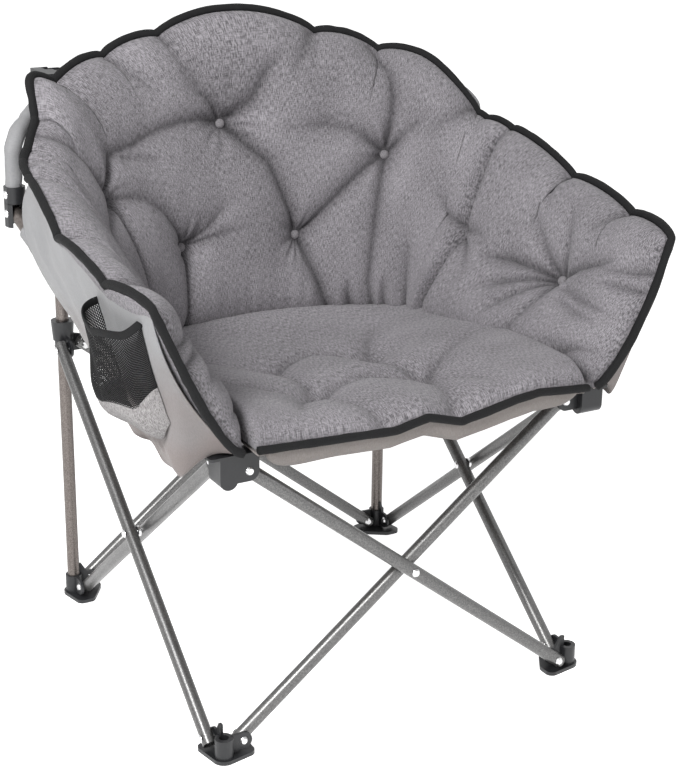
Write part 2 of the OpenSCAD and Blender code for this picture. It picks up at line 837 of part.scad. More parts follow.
module back_buttons() {
    for (p = back_tuft_places)
        button_at(back_mid(p[0], p[1]) + back_in(p[0], p[1]) * back_front_t(p[0], p[1]),
            back_in(p[0], p[1]), 6 * soft_gap);
}

// Right side panel: share w runs from the back seam to the front edge, share v from seat to rim
side_rise = 26;
side_sway = 14;
side_spread = 15;
rim_spread = 14;
tip_z = 674;
tip_back = 8;
rim_fall_power = 2.2;
front_flare_power = 0.68;
side_flare_power = 1.5;
side_scallop = 12;
side_columns = 14;
side_rows = 12;
front_bow = 6;
side_length = seam_y - front_y;
side_valleys = [5 / side_columns, 10 / side_columns];

function side_y(w) = mix(seam_y - soft_gap, front_y, w);
function side_base_z(w) = seat_seam_z + side_rise * w + side_sway * sin(180 * w);
function side_base_x(w) = seat_half_w + side_spread * pow(w, 6);
function side_rim_z(w) = tip_z + (seam_rim_z - tip_z) * pow(1 - w, rim_fall_power);
function side_rim_x(w) = rim_half_w + rim_spread * sin(180 * w) - tip_back * pow(w, 6);
function side_lobe(w) = lobe_swell(w, 0, side_valleys[0]) + lobe_swell(w, side_valleys[0], side_valleys[1])
    + lobe_swell(w, side_valleys[1], 1);
function side_mid(w, v) = let(s = pow(v, mix(mix(flare_power, side_flare_power, smooth(4 * w)), front_flare_power,
        smooth(w))))
    [mix(side_base_x(w), side_rim_x(w), s),
        mix(seam_forward(v) - soft_gap, front_y, w) + front_bow * pow(w, 6) * (1 - sin(180 * v)),
        mix(side_base_z(w), side_rim_z(w), v) + side_scallop * side_lobe(w) * pow(v, rim_swell_power)];
function side_along(w, v) = let(b = w < step_share ? w + step_share : w)
    unit(side_mid(b, v) - side_mid(b - step_share, v));
function side_up(w, v) = let(b = v < 1 - step_share ? v + step_share : v)
    unit(side_mid(w, b) - side_mid(w, b - step_share));
function side_in(w, v) = let(n = cross(side_along(w, v), side_up(w, v)))
    unit([-abs(n[0]), 0, abs(n[2])]);

side_tuft_place = [9 / side_columns, 6 / side_rows];
side_tuft_r = 70;
side_height = tip_z - seat_seam_z;
function side_pinch(w, v) = 1 - tuft_depth_share * bump(norm([(w - side_tuft_place[0]) * side_length,
    (v - side_tuft_place[1]) * side_height]), side_tuft_r);
function side_front_t(w, v) = seam_half_t + pad_crown * fill(v) * fill(w) * side_pinch(w, v);
function side_rear_t(w, v) = seam_half_t + pad_rear * fill(v) * fill(w);

function side_face(nu, nv) = [for (i = [0:nu]) [for (j = [0:nv])
    let(w = i / nu, v = j / nv)
    side_mid(w, v) + side_in(w, v) * side_front_t(w, v)]];
function side_sheet(nu, nv) = [for (i = [0:nu]) [for (j = [0:nv])
    let(w = i / nu, v = j / nv)
    side_mid(w, v) - side_in(w, v) * side_rear_t(w, v)]];

module side_cushion() {
    color(quilt_grey)
        panel(side_sheet(side_columns, side_rows), side_face(side_columns, side_rows));
}

// Outer skin of a side: from the rim it passes outside the arm tube and hangs below it
skin_off = 19;
skin_low = 18;
skin_from_share = 0.05;
skin_front_share = 0.86;
skin_hub_off = 7;
skin_hub_share = 0.55;
skin_columns = 12;
skin_rows = 8;
skin_sag = 8;
skin_tuck_share = 0.6;
skin_slack = 5.5;
skin_over_hub = 6;

function arm_line(y) = let(t = (elbow_y - y) / (elbow_y + arm_end_y))
    [mix(elbow_x, arm_end_x, t), y, mix(elbow_z, arm_end_z, t)];
function skin_away(w) = soft_gap + skin_gap + skin_slack * smooth(w);
function skin_rim(w) = side_mid(w, 1) - side_in(w, 1) * (seam_half_t + skin_away(w));
function skin_edge(w) = side_mid(w, 0) - side_in(w, 0) * (seam_half_t + skin_away(w));
function skin_middle(w) = side_mid(w, 0.5)
    - side_in(w, 0.5) * (seam_half_t + pad_rear * fill(w) + skin_away(w));
function skin_near_hub(w) = smooth((w - skin_hub_share) / (skin_front_share - skin_hub_share));
function skin_waist(w) = let(a = arm_line(side_y(w)), k = smooth((w - skin_front_share) / (1 - skin_front_share)),
        h = skin_near_hub(w))
    mix([a[0] + skin_off + skin_hub_off * h, a[1], a[2] + skin_low * w], skin_middle(w), k);
function skin_hem(w) = let(a = arm_line(side_y(w)), k = smooth((w - skin_front_share) / (1 - skin_front_share)),
        h = skin_near_hub(w))
    mix(mix(skin_edge(w) - [0, 0, skin_sag],
            [a[0] + skin_off - skin_low * (1 - min(2 * h, 1)), a[1],
                mix(min(a[2] - tube_d, hem_z(w)), hem_z(w), h)], smooth(w / skin_tuck_share)),
        skin_edge(w), k);
function hem_z(w) = mix(seat_seam_z - skin_sag, hub_pin_z + hub_top + skin_over_hub,
    smooth((w - hem_rise_share) / (skin_front_share - hem_rise_share)));
hem_rise_share = 0.35;
function skin_mid(w, v) = let(b = skin_hem(w), r = skin_rim(w), c = 2 * skin_waist(w) - (b + r) / 2)
    b * (1 - v) * (1 - v) + c * 2 * v * (1 - v) + r * v * v;
function skin_out(w, v) = let(b = v < 1 - step_share ? v + step_share : v,
        u = unit(skin_mid(w, b) - skin_mid(w, b - step_share)))
    unit([abs(u[2]), 0, -u[0]]);
function skin_sheet(off) = [for (i = [0:skin_columns]) [for (j = [0:skin_rows])
    let(w = mix(skin_from_share, 1, i / skin_columns), v = j / skin_rows)
    skin_mid(w, v) + skin_out(w, v) * off]];

module side_shell() {
    color(shell_grey)
        panel(skin_sheet(fabric_t), skin_sheet(0));
}

// Binding of a side: along the rim to the tip, then down the front edge
function side_bind_dir(w, v) = unit(side_up(1, 1) * smooth((v - 0.8) / 0.2)
    + [0, -1, 0] * smooth((w - 0.9) / 0.1));
function side_bind_point(w, v) = side_mid(w, v) + side_bind_dir(w, v) * (binding_d / 2 + 3 * soft_gap);
side_bind_route = concat(
    [for (i = [0:side_columns]) [i / side_columns, 1]],
    [for (i = [1:side_rows]) [1, 1 - i / side_rows]]);
side_bind_start = mix(side_bind_point(0, 1), side_bind_point(1 / side_columns, 1), binding_inset_share);

module side_binding() {
    color(binding_black)
        cord([for (s = side_bind_route) s[0] == 0 ? side_bind_start : side_bind_point(s[0], s[1])],
            [for (s = side_bind_route) side_in(s[0], s[1])],
            binding_d / 2, binding_sides);
}

module side_button() {
    w = side_tuft_place[0];
    v = side_tuft_place[1];
    button_at(side_mid(w, v) + side_in(w, v) * side_front_t(w, v), side_in(w, v), 5 * soft_gap);
}

// Seat panel: angle th gives the place across, share q runs from the front edge to the back seam
seat_lift = 2;
seat_columns = 24;
seat_rows = 12;
sling_columns = 8;
seat_rear_drop = 3;
seat_rear_t = 1;
sling_slack = 7;
sling_gap = 3.5;
seat_edge_power = 3;
seat_half = seat_half_w - seam_half_t - 3 * soft_gap;
seat_rear_depth = back_depth - seam_half_t - 3 * soft_gap;
seat_tuft_x = 88;
seat_tuft_y = [-30, -182];
seat_tuft_r = 58;

function seat_xy(th, q) = let(x = seat_half * sin(th), rear = seam_y + seat_rear_depth * cos(th))
    [x, mix(front_y, rear, q)];
function seat_run(y) = min(max((y - front_y) / (seam_y + back_depth - front_y), 0), 1);
function seat_hang(x, y) = seat_sag * (1 - pow(x / seat_half, 2)) * pow(sin(180 * pow(seat_run(y), 0.8)), 0.8);
function seat_crown(x, q) = (1 - pow(abs(x / seat_half), seat_edge_power)) * fill(q);
function seat_z(y) = let(w = min(max((seam_y - y) / side_length, 0), 1))
    side_base_z(w) + mix(-seat_rear_drop, seat_lift, w);
function seat_pinch(x, y) = 1 - seat_pinch_share * (bump(norm([abs(x) - seat_tuft_x, y - seat_tuft_y[0]]), seat_tuft_r)
    + bump(norm([abs(x) - seat_tuft_x, y - seat_tuft_y[1]]), seat_tuft_r));
seat_pinch_share = 0.6;
function seat_sheet(nu, nv, low) = [for (i = [0:nu]) [for (j = [0:nv])
    let(th = back_th(i, nu), q = j / nv, p = seat_xy(th, q), f = seat_crown(p[0], q))
    [p[0], p[1], seat_z(p[1]) - seat_hang(p[0], p[1]) + (low < 0
        ? (seam_half_t - 1) + pad_crown * f * seat_pinch(p[0], p[1])
        : 1 - seam_half_t - seat_rear_t * f - low - (low > 0 ? sling_slack * f : 0))]]];

module seat_cushion() {
    color(quilt_grey)
        panel(seat_sheet(seat_columns, seat_rows, 0), seat_sheet(seat_columns, seat_rows, -1));
}

// Sling under the seat, with its front strip and the two straps to the rear sliders
strip_h = 26;
strap_w = 38;
strap_turn = 45;
strap_z = hub_pin_z + 4;
module seat_sling() {
    color(shell_grey) {
        panel(seat_sheet(sling_columns, seat_rows, soft_gap + sling_gap + fabric_t),
            seat_sheet(sling_columns, seat_rows, soft_gap + sling_gap));
        translate([-seat_half * strip_share, front_y + soft_gap, seat_z(front_y) - seam_half_t - strip_h])
            cube([2 * seat_half * strip_share, fabric_t, strip_h - skin_gap]);
    }
}
strip_share = 0.94;

module seat_binding() {
    n = seat_columns;
    color(binding_black)
        cord([for (i = [0:n]) let(x = mix(-seat_half, seat_half, i / n) * strip_share)
                [x, front_y - binding_d / 2 - soft_gap, seat_z(front_y)]],
            [for (i = [0:n]) [0, 0, 1]],
            binding_d / 2, binding_sides);
}

// Back trim: the binding along the rim and the covered buttons, sewn to the same pad
module back_trim() {
    back_binding();
    back_buttons();
}

// Mesh pocket on the outside of the left skin: a bowed wall, a flat back and a floor
pocket_wall = 1.6;
pocket_y = -234;
pocket_rise = 99;
pocket_gap = 35;
pocket_tilt = 17;
pocket_splay = 1;
pocket_r = (pocket_l * pocket_l / 4 + pocket_bulge * pocket_bulge) / (2 * pocket_bulge);
pocket_place = arm_line(pocket_y);

module pocket_outline(shrink) {
    intersection() {
        translate([pocket_r - pocket_bulge, 0])
            circle(r = pocket_r - shrink, $fn = 96);
        translate([-pocket_bulge, -pocket_l])
            square([pocket_bulge - shrink, 2 * pocket_l]);
    }
}

module mesh_pocket() {
    color(mesh_black)
        translate([-pocket_place[0] - skin_off - fabric_t - pocket_gap, pocket_y, pocket_place[2] + pocket_rise])
            rotate([0, 0, pocket_splay])
                rotate([0, -pocket_tilt, 0])
                    rotate([-pocket_lean, 0, 0])
                        translate([0, 0, -pocket_h / 2])
                            difference() {
                                linear_extrude(pocket_h)
                                    pocket_outline(0);
                                translate([0, 0, pocket_wall])
                                    linear_extrude(pocket_h)
                                        pocket_outline(pocket_wall);
                            }
}

module mirrored() {
    mirror([1, 0, 0])
        children();
}

module at_hub(turn) {
    at_corner(turn)
        translate([0, 0, hub_pin_z])
            children();
}

at_corner(0) foot(front_socket_d);  // foot_front_left
at_corner(90) foot(front_socket_d);  // foot_front_right
at_corner(180) foot(tube_d + 2 * socket_gap);  // foot_rear_right
at_corner(270) foot(tube_d + 2 * socket_gap);  // foot_rear_left
leg_inner(0);  // front_leg_inner
leg_outer(0);  // front_leg_outer
leg_inner(90);  // right_leg_inner
leg_outer(90);  // right_leg_outer
leg_inner(180);  // back_leg_inner
leg_outer(180);  // back_leg_outer
leg_inner(270);  // left_leg_inner
leg_outer(270);  // left_leg_outer
upright(-1);  // upright_left
upright(1);  // upright_right
union() { at_hub(0) hub(); at_hub(0) arm_rest(); }  // hub_left
union() { at_hub(90) hub(); mirrored() at_hub(0) arm_rest(); }  // hub_right
at_hub(270) slider();  // slider_left
at_hub(180) slider();  // slider_right
bracket();  // bracket_left
mirrored() bracket();  // bracket_right
side_rail();  // side_rail_left
mirrored() side_rail();  // side_rail_right
elbow();  // elbow_left
mirrored() elbow();  // elbow_right
arm_tube();  // arm_tube_left
mirrored() arm_tube();  // arm_tube_right
arch_tube();  // arch_tube_left
mirrored() arch_tube();  // arch_tube_right
top_link();
cross_rivet(0);  // front_cross_rivet
cross_rivet(90);  // right_cross_rivet
cross_rivet(180);  // back_cross_rivet
cross_rivet(270);  // left_cross_rivet
at_corner(0) foot_rivets();  // front_left_foot_rivets
at_corner(90) foot_rivets();  // front_right_foot_rivets
union() { at_corner(270) foot_rivets(); post_rivets(); }  // left_post_rivets
union() { at_corner(180) foot_rivets(); mirrored() post_rivets(); }  // right_post_rivets
at_hub(0) hub_rivets();  // left_hub_rivets
at_hub(90) hub_rivets();  // right_hub_rivets
at_hub(270) slider_rivets();  // left_slider_rivets
at_hub(180) slider_rivets();  // right_slider_rivets
top_link_pin(-1);  // top_link_pin_left
top_link_pin(1);  // top_link_pin_right
seat_cushion();
seat_sling();
seat_binding();
back_cushion();
back_shell();
back_trim();
side_cushion();  // right_side_cushion
side_shell();  // right_side_shell
side_binding();  // right_binding
side_button();  // right_button
mirrored() side_cushion();  // left_side_cushion
mirrored() side_shell();  // left_side_shell
mirrored() side_binding();  // left_binding
mirrored() side_button();  // left_button
mesh_pocket();
arm_sleeve();  // arm_sleeve_left
mirrored() arm_sleeve();  // arm_sleeve_right
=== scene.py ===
# %% [markdown]
# # A folding club chair
# The chair is a quilted bucket of four padded panels on a folding frame of crossed steel tubes.
# The frame's tubes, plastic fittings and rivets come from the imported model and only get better
# finishes. Everything soft is modelled here, because cloth needs folds, seams and stitches.
# All shapes are worked out in millimetres and turned into metres when a mesh is made.

# %% Load the frame
import math

import bmesh
import bpy
import numpy as np
from mathutils import Matrix, Vector


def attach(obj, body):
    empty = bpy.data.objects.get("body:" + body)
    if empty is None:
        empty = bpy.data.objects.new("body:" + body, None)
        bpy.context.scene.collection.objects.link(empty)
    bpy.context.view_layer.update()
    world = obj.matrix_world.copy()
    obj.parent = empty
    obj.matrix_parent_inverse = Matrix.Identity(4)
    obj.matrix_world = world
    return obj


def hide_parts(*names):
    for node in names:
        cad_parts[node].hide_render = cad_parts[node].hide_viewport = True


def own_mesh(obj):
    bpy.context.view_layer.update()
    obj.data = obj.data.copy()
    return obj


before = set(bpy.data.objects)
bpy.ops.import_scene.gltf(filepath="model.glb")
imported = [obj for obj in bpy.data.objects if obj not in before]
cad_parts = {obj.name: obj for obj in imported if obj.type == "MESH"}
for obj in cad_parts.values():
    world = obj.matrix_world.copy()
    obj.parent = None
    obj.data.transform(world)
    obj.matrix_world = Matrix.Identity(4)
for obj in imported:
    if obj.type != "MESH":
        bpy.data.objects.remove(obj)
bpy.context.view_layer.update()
scene = bpy.context.scene

# %% [markdown]
# ## Camera
# A product photo is taken from a little above, with a long lens, so that the legs stay nearly
# upright. The camera stands at a fixed place and looks along one direction. Its turn is built from
# three axes instead of angles, which keeps the small tilt of the horizon easy to read.

# %% Camera
YAW = math.radians(29.26)
PITCH = math.radians(19.57)
ROLL = math.radians(0.72)
look = Vector((math.sin(YAW) * math.cos(PITCH), math.cos(YAW) * math.cos(PITCH), -math.sin(PITCH)))
level = Vector((math.cos(YAW), -math.sin(YAW), 0))
upward = level.cross(look)
camera_x = level * math.cos(ROLL) + upward * math.sin(ROLL)
camera_y = upward * math.cos(ROLL) - level * math.sin(ROLL)

lens = bpy.data.cameras.new("camera")
lens.sensor_fit = "VERTICAL"
lens.sensor_height = 36
lens.lens = 1703.06 * 36 / 767
camera = bpy.data.objects.new("camera", lens)
scene.collection.objects.link(camera)
turn = Matrix((camera_x, camera_y, -look)).transposed()
camera.matrix_world = Matrix.Translation((-1.1758, -2.1852, 1.3028)) @ turn.to_4x4()
scene.camera = camera
print("lens", round(lens.lens, 1), "mm")

# %% [markdown]
# ## Floor and background
# The chair stands on a pale floor that runs far past the picture. The background colour is seen
# only by the camera and by reflections, so it adds no light to the fabric.

# %% Floor and background
def new_object(name, mesh):
    """Puts a mesh into the scene, at the origin."""
    piece = bpy.data.objects.new(name, mesh)
    scene.collection.objects.link(piece)
    return piece


def bright_rays(nodes, links):
    """1 for camera, mirror and glass rays, and 0 for the light that falls on things."""
    path = nodes.new("ShaderNodeLightPath")
    first = nodes.new("ShaderNodeMath")
    first.operation = "MAXIMUM"
    second = nodes.new("ShaderNodeMath")
    second.operation = "MAXIMUM"
    links.new(path.outputs["Is Camera Ray"], first.inputs[0])
    links.new(path.outputs["Is Glossy Ray"], first.inputs[1])
    links.new(first.outputs[0], second.inputs[0])
    links.new(path.outputs["Is Transmission Ray"], second.inputs[1])
    return second.outputs[0]


world = bpy.data.worlds.new("studio")
world.use_nodes = True
scene.world = world
sky_nodes = world.node_tree.nodes
sky_links = world.node_tree.links
sky_mix = sky_nodes.new("ShaderNodeMix")
sky_mix.data_type = "FLOAT"
sky_mix.inputs["A"].default_value = 0.3
sky_mix.inputs["B"].default_value = 1.0
sky_links.new(bright_rays(sky_nodes, sky_links), sky_mix.inputs["Factor"])
sky_links.new(sky_mix.outputs["Result"], sky_nodes["Background"].inputs["Strength"])
sky_nodes["Background"].inputs["Color"].default_value = (1, 1, 1, 1)

floor_shape = bmesh.new()
bmesh.ops.create_grid(floor_shape, x_segments=4, y_segments=4, size=14)
floor_mesh = bpy.data.meshes.new("floor")
floor_shape.to_mesh(floor_mesh)
floor_shape.free()
floor = new_object("floor", floor_mesh)
floor_look = bpy.data.materials.new("pale_floor")
floor_look.use_nodes = True
floor_nodes = floor_look.node_tree.nodes
floor_links = floor_look.node_tree.links
floor_shader = floor_nodes["Principled BSDF"]
floor_shader.inputs["Base Color"].default_value = (0.9, 0.9, 0.9, 1)
floor_shader.inputs["Roughness"].default_value = 0.9
floor_shader.inputs["Specular IOR Level"].default_value = 0.0
floor_shader.inputs["Emission Color"].default_value = (1, 1, 1, 1)
floor_glow = floor_nodes.new("ShaderNodeMath")
floor_glow.operation = "MULTIPLY"
floor_glow.inputs[1].default_value = 0.9
floor_links.new(bright_rays(floor_nodes, floor_links), floor_glow.inputs[0])
floor_links.new(floor_glow.outputs[0], floor_shader.inputs["Emission Strength"])
floor_mesh.materials.append(floor_look)

# %% [markdown]
# ## Lights
# A large soft box high on the left gives the panels their shape, and a weaker one on the right
# opens the shadows. A long strip low in front draws the bright lines along the tubes.

# %% Lights
def soft_box(name, place, target, size, power):
    """A square area lamp that looks at a point."""
    lamp = bpy.data.lights.new(name, "AREA")
    lamp.shape = "RECTANGLE"
    lamp.size = size[0]
    lamp.size_y = size[1]
    lamp.energy = power
    holder = bpy.data.objects.new(name, lamp)
    scene.collection.objects.link(holder)
    aim = (Vector(target) - Vector(place)).to_track_quat("-Z", "Y")
    holder.matrix_world = Matrix.Translation(place) @ aim.to_matrix().to_4x4()
    return holder


soft_box("key_box", (-2.3, -1.5, 2.6), (0, 0, 0.5), (0.9, 0.9), 106)
soft_box("fill_box", (2.6, -2.4, 1.7), (0, 0, 0.5), (2.0, 1.6), 16)
soft_box("strip_box", (-0.3, -3.4, 0.9), (0, 0, 0.3), (2.6, 0.5), 8)
print("lights", len(bpy.data.lights))

# %% [markdown]
# ## Shared effects
# Woven cloth, hammered paint and dust each come up in more than one finish. An effect that
# several materials share is a node group with its own inputs, and it only puts out colours, masks
# and heights. The shader itself stays in each material.

# %% A small kit for node trees
def socket(group, name, kind, way, value=None):
    """One named input or output of a node group."""
    made = group.interface.new_socket(name=name, in_out=way, socket_type=kind)
    if value is not None:
        made.default_value = value
    return made


def node(tree, kind, **settings):
    """A node with its settings."""
    made = tree.nodes.new(kind)
    for name, value in settings.items():
        setattr(made, name, value)
    return made


def feed(tree, target, source):
    """Gives an input a link or a plain value."""
    if isinstance(source, bpy.types.NodeSocket):
        tree.links.new(source, target)
    else:
        target.default_value = source


def put(target, **values):
    """Sets plain inputs by their names, with _ for a space."""
    for name, value in values.items():
        target.inputs[name.replace("_", " ")].default_value = value


def maths(tree, what, first, second=0.0):
    """One Math node."""
    made = node(tree, "ShaderNodeMath", operation=what)
    feed(tree, made.inputs[0], first)
    feed(tree, made.inputs[1], second)
    return made.outputs[0]


def noise_of(tree, where, scale, detail=2.0, rough=0.5):
    """A Noise texture's value."""
    made = node(tree, "ShaderNodeTexNoise")
    feed(tree, made.inputs["Vector"], where)
    feed(tree, made.inputs["Scale"], scale)
    feed(tree, made.inputs["Detail"], detail)
    feed(tree, made.inputs["Roughness"], rough)
    return made.outputs["Fac"]


def mapped(tree, where, scale):
    """A Mapping node that stretches a pattern."""
    made = node(tree, "ShaderNodeMapping")
    feed(tree, made.inputs["Vector"], where)
    put(made, Scale=scale)
    return made.outputs["Vector"]


def ramp_between(tree, value, low, high, first=0.0, second=1.0):
    """Stretches a value from low..high to first..second."""
    made = node(tree, "ShaderNodeMapRange")
    feed(tree, made.inputs["Value"], value)
    put(made, From_Min=low, From_Max=high, To_Min=first, To_Max=second)
    return made.outputs["Result"]


def colour_mix(tree, amount, first, second):
    """Mixes two colours."""
    made = node(tree, "ShaderNodeMix", data_type="RGBA")
    feed(tree, made.inputs["Factor"], amount)
    feed(tree, made.inputs["A"], first)
    feed(tree, made.inputs["B"], second)
    return made.outputs["Result"]


# %% [markdown]
# ### Woven cloth
# Up close, cloth is a grid of threads that pass over and under each other. Two sets of ridges, each
# shown where the other one dives, give that weave. Heathered yarn is spun from dark and pale fibres, so
# single threads are darker or paler for a few millimetres. The pattern lies on the piece's UV map,
# which is in metres, so that the threads follow the cut of each panel.

# %% Woven cloth group
def weave_group():
    """Threads, heather and a soft change of tone, for all cloth on the chair."""
    group = bpy.data.node_groups.new("woven_threads", "ShaderNodeTree")
    socket(group, "Vector", "NodeSocketVector", "INPUT")
    socket(group, "Threads per metre", "NodeSocketFloat", "INPUT", 1100.0)
    socket(group, "Heather", "NodeSocketFloat", "INPUT", 0.5)
    socket(group, "Dark", "NodeSocketColor", "INPUT", (0.1, 0.1, 0.1, 1))
    socket(group, "Pale", "NodeSocketColor", "INPUT", (0.4, 0.4, 0.4, 1))
    socket(group, "Color", "NodeSocketColor", "OUTPUT")
    socket(group, "Height", "NodeSocketFloat", "OUTPUT")
    given = node(group, "NodeGroupInput")
    result = node(group, "NodeGroupOutput")
    where = given.outputs["Vector"]
    parts = node(group, "ShaderNodeSeparateXYZ")
    feed(group, parts.inputs[0], where)
    turns = maths(group, "MULTIPLY", given.outputs["Threads per metre"], math.pi)
    across = maths(group, "SINE", maths(group, "MULTIPLY", parts.outputs["X"], turns))
    along = maths(group, "SINE", maths(group, "MULTIPLY", parts.outputs["Y"], turns))
    over = maths(group, "MULTIPLY", across, along)
    ridge_x = maths(group, "ABSOLUTE", across)
    ridge_y = maths(group, "ABSOLUTE", along)
    flip = ramp_between(group, over, -0.3, 0.3)
    warp = maths(group, "MULTIPLY", ridge_x, flip)
    weft = maths(group, "MULTIPLY", ridge_y, maths(group, "SUBTRACT", 1.0, flip))
    weave = maths(group, "ADD", warp, weft)
    upright_flecks = noise_of(group, mapped(group, where, (1150, 130, 1)), 1.0, 2.0, 0.6)
    level_flecks = noise_of(group, mapped(group, where, (170, 1050, 1)), 1.0, 1.0, 0.6)
    both = maths(group, "ADD", maths(group, "MULTIPLY", upright_flecks, 0.68),
                 maths(group, "MULTIPLY", level_flecks, 0.32))
    sharp = ramp_between(group, both, 0.4, 0.6, -0.5, 0.5)
    heather = maths(group, "MULTIPLY", sharp, given.outputs["Heather"])
    clouds = ramp_between(group, noise_of(group, where, 9.0, 3.0), 0.3, 0.7, -0.09, 0.09)
    level_of = maths(group, "ADD", maths(group, "ADD", heather, 0.5), clouds)
    # Painted shade between the threads: the weave's height lightens the thread tops and darkens the gaps
    # in the colour.
    thread_shade = maths(group, "MULTIPLY", maths(group, "SUBTRACT", weave, 0.5), 0.1)
    shaded = maths(group, "ADD", level_of, thread_shade)
    feed(group, result.inputs["Color"],
         colour_mix(group, shaded, given.outputs["Dark"], given.outputs["Pale"]))
    feed(group, result.inputs["Height"],
         maths(group, "ADD", weave, maths(group, "MULTIPLY", both, 0.8)))
    return group


# %% [markdown]
# ### Specks and wear
# Hammered enamel is a skin of small round dimples with dark specks between them. Handled plastic and
# metal carry a faint uneven film, which shows only as a change of gloss. One group gives both.

# %% Specks and wear group
def speck_group():
    """Round dimples, specks and an uneven film, on Object coordinates."""
    group = bpy.data.node_groups.new("specks_and_film", "ShaderNodeTree")
    socket(group, "Vector", "NodeSocketVector", "INPUT")
    socket(group, "Dimples per metre", "NodeSocketFloat", "INPUT", 260.0)
    socket(group, "Specks", "NodeSocketFloat", "OUTPUT")
    socket(group, "Film", "NodeSocketFloat", "OUTPUT")
    socket(group, "Height", "NodeSocketFloat", "OUTPUT")
    given = node(group, "NodeGroupInput")
    result = node(group, "NodeGroupOutput")
    cells = node(group, "ShaderNodeTexVoronoi", feature="SMOOTH_F1")
    feed(group, cells.inputs["Vector"], given.outputs["Vector"])
    feed(group, cells.inputs["Scale"], given.outputs["Dimples per metre"])
    cells.inputs["Smoothness"].default_value = 0.6
    fine_scale = maths(group, "MULTIPLY", given.outputs["Dimples per metre"], 1.6)
    fine = noise_of(group, given.outputs["Vector"], fine_scale, 3.0, 0.6)
    feed(group, result.inputs["Specks"], ramp_between(group, fine, 0.42, 0.62))
    film = noise_of(group, given.outputs["Vector"], 14.0, 5.0, 0.6)
    feed(group, result.inputs["Film"], ramp_between(group, film, 0.3, 0.7))
    feed(group, result.inputs["Height"], maths(group, "ADD", cells.outputs["Distance"],
                                                maths(group, "MULTIPLY", fine, 0.5)))
    return group


weave_effect = weave_group()
speck_effect = speck_group()
print("shared effects", [group.name for group in bpy.data.node_groups])


# %% [markdown]
# ## Cloth finishes
# The quilt is a dull heathered grey with a slight warm tone. The shell outside is plain polyester, pale
# above and painted darker and a little warmer below, as shade towards the floor. The edges are bound with
# black tape.
# All of them are rough and have a thin sheen from their fuzz. Deep in a crease the cloth lies in shade, so
# a value kept on the pads, named crease, darkens its colour there as painted shade, also at seams and
# stitches.

# %% Cloth finishes
def blank(name):
    """A new material with its tree and shader."""
    material = bpy.data.materials.new(name)
    material.use_nodes = True
    tree = material.node_tree
    return material, tree, tree.nodes["Principled BSDF"]


def bumped(tree, shader, height, strength, distance):
    """Turns a height into the shader's normal."""
    bump_node = node(tree, "ShaderNodeBump")
    put(bump_node, Strength=strength, Distance=distance)
    feed(tree, bump_node.inputs["Height"], height)
    feed(tree, shader.inputs["Normal"], bump_node.outputs["Normal"])


def woven(tree, threads, heather):
    """The threads, laid on the piece's UV map."""
    flat = node(tree, "ShaderNodeUVMap", uv_map="cloth")
    weave = node(tree, "ShaderNodeGroup", node_tree=weave_effect)
    feed(tree, weave.inputs["Vector"], flat.outputs["UV"])
    put(weave, Threads_per_metre=threads, Heather=heather)
    return weave


def cloth(name, dark, pale, threads, heather, rough, sheen, bump_by):
    """Woven cloth with painted shade that darkens its colour in the creases."""
    material, tree, shader = blank(name)
    weave = woven(tree, threads, heather)
    put(weave, Dark=(*dark, 1), Pale=(*pale, 1))
    # Painted shade: the crease value mixes the cloth's colour towards near black in creases, at seams and
    # at buttons.
    crease = node(tree, "ShaderNodeAttribute", attribute_name="crease")
    shade = maths(tree, "MULTIPLY", crease.outputs["Fac"], 0.8)
    feed(tree, shader.inputs["Base Color"],
         colour_mix(tree, shade, weave.outputs["Color"], (0.012, 0.011, 0.012, 1)))
    put(shader, Roughness=rough, Sheen_Weight=sheen, Sheen_Roughness=0.45, Specular_IOR_Level=0.25)
    bumped(tree, shader, weave.outputs["Height"], 0.6, bump_by)
    return material


quilt_cloth = cloth("heathered_quilt", (0.07, 0.066, 0.071), (0.47, 0.447, 0.478),
                    1150.0, 0.72, 0.86, 0.15, 0.0004)
tape_cloth = cloth("black_binding_tape", (0.002, 0.002, 0.0022), (0.014, 0.014, 0.015),
                   1300.0, 0.3, 0.75, 0.0, 0.0003)
lining_cloth = cloth("warm_grey_lining", (0.2, 0.18, 0.17), (0.46, 0.42, 0.4),
                     1500.0, 0.25, 0.7, 0.1, 0.0002)
gusset_cloth = cloth("pocket_gusset_cloth", (0.14, 0.13, 0.13), (0.55, 0.53, 0.53),
                     1000.0, 0.8, 0.85, 0.15, 0.0004)
button_cloth = cloth("button_cloth", (0.12, 0.113, 0.12), (0.42, 0.4, 0.42),
                     1150.0, 0.6, 0.85, 0.15, 0.0003)


# %% [markdown]
# ### Shell cloth
# The outside of the bucket is smooth polyester. It is painted with shade: its tone changes slowly from a
# cool pale grey at the rim to a darker, warm beige grey below the arms, so the height above the floor
# drives the mix.

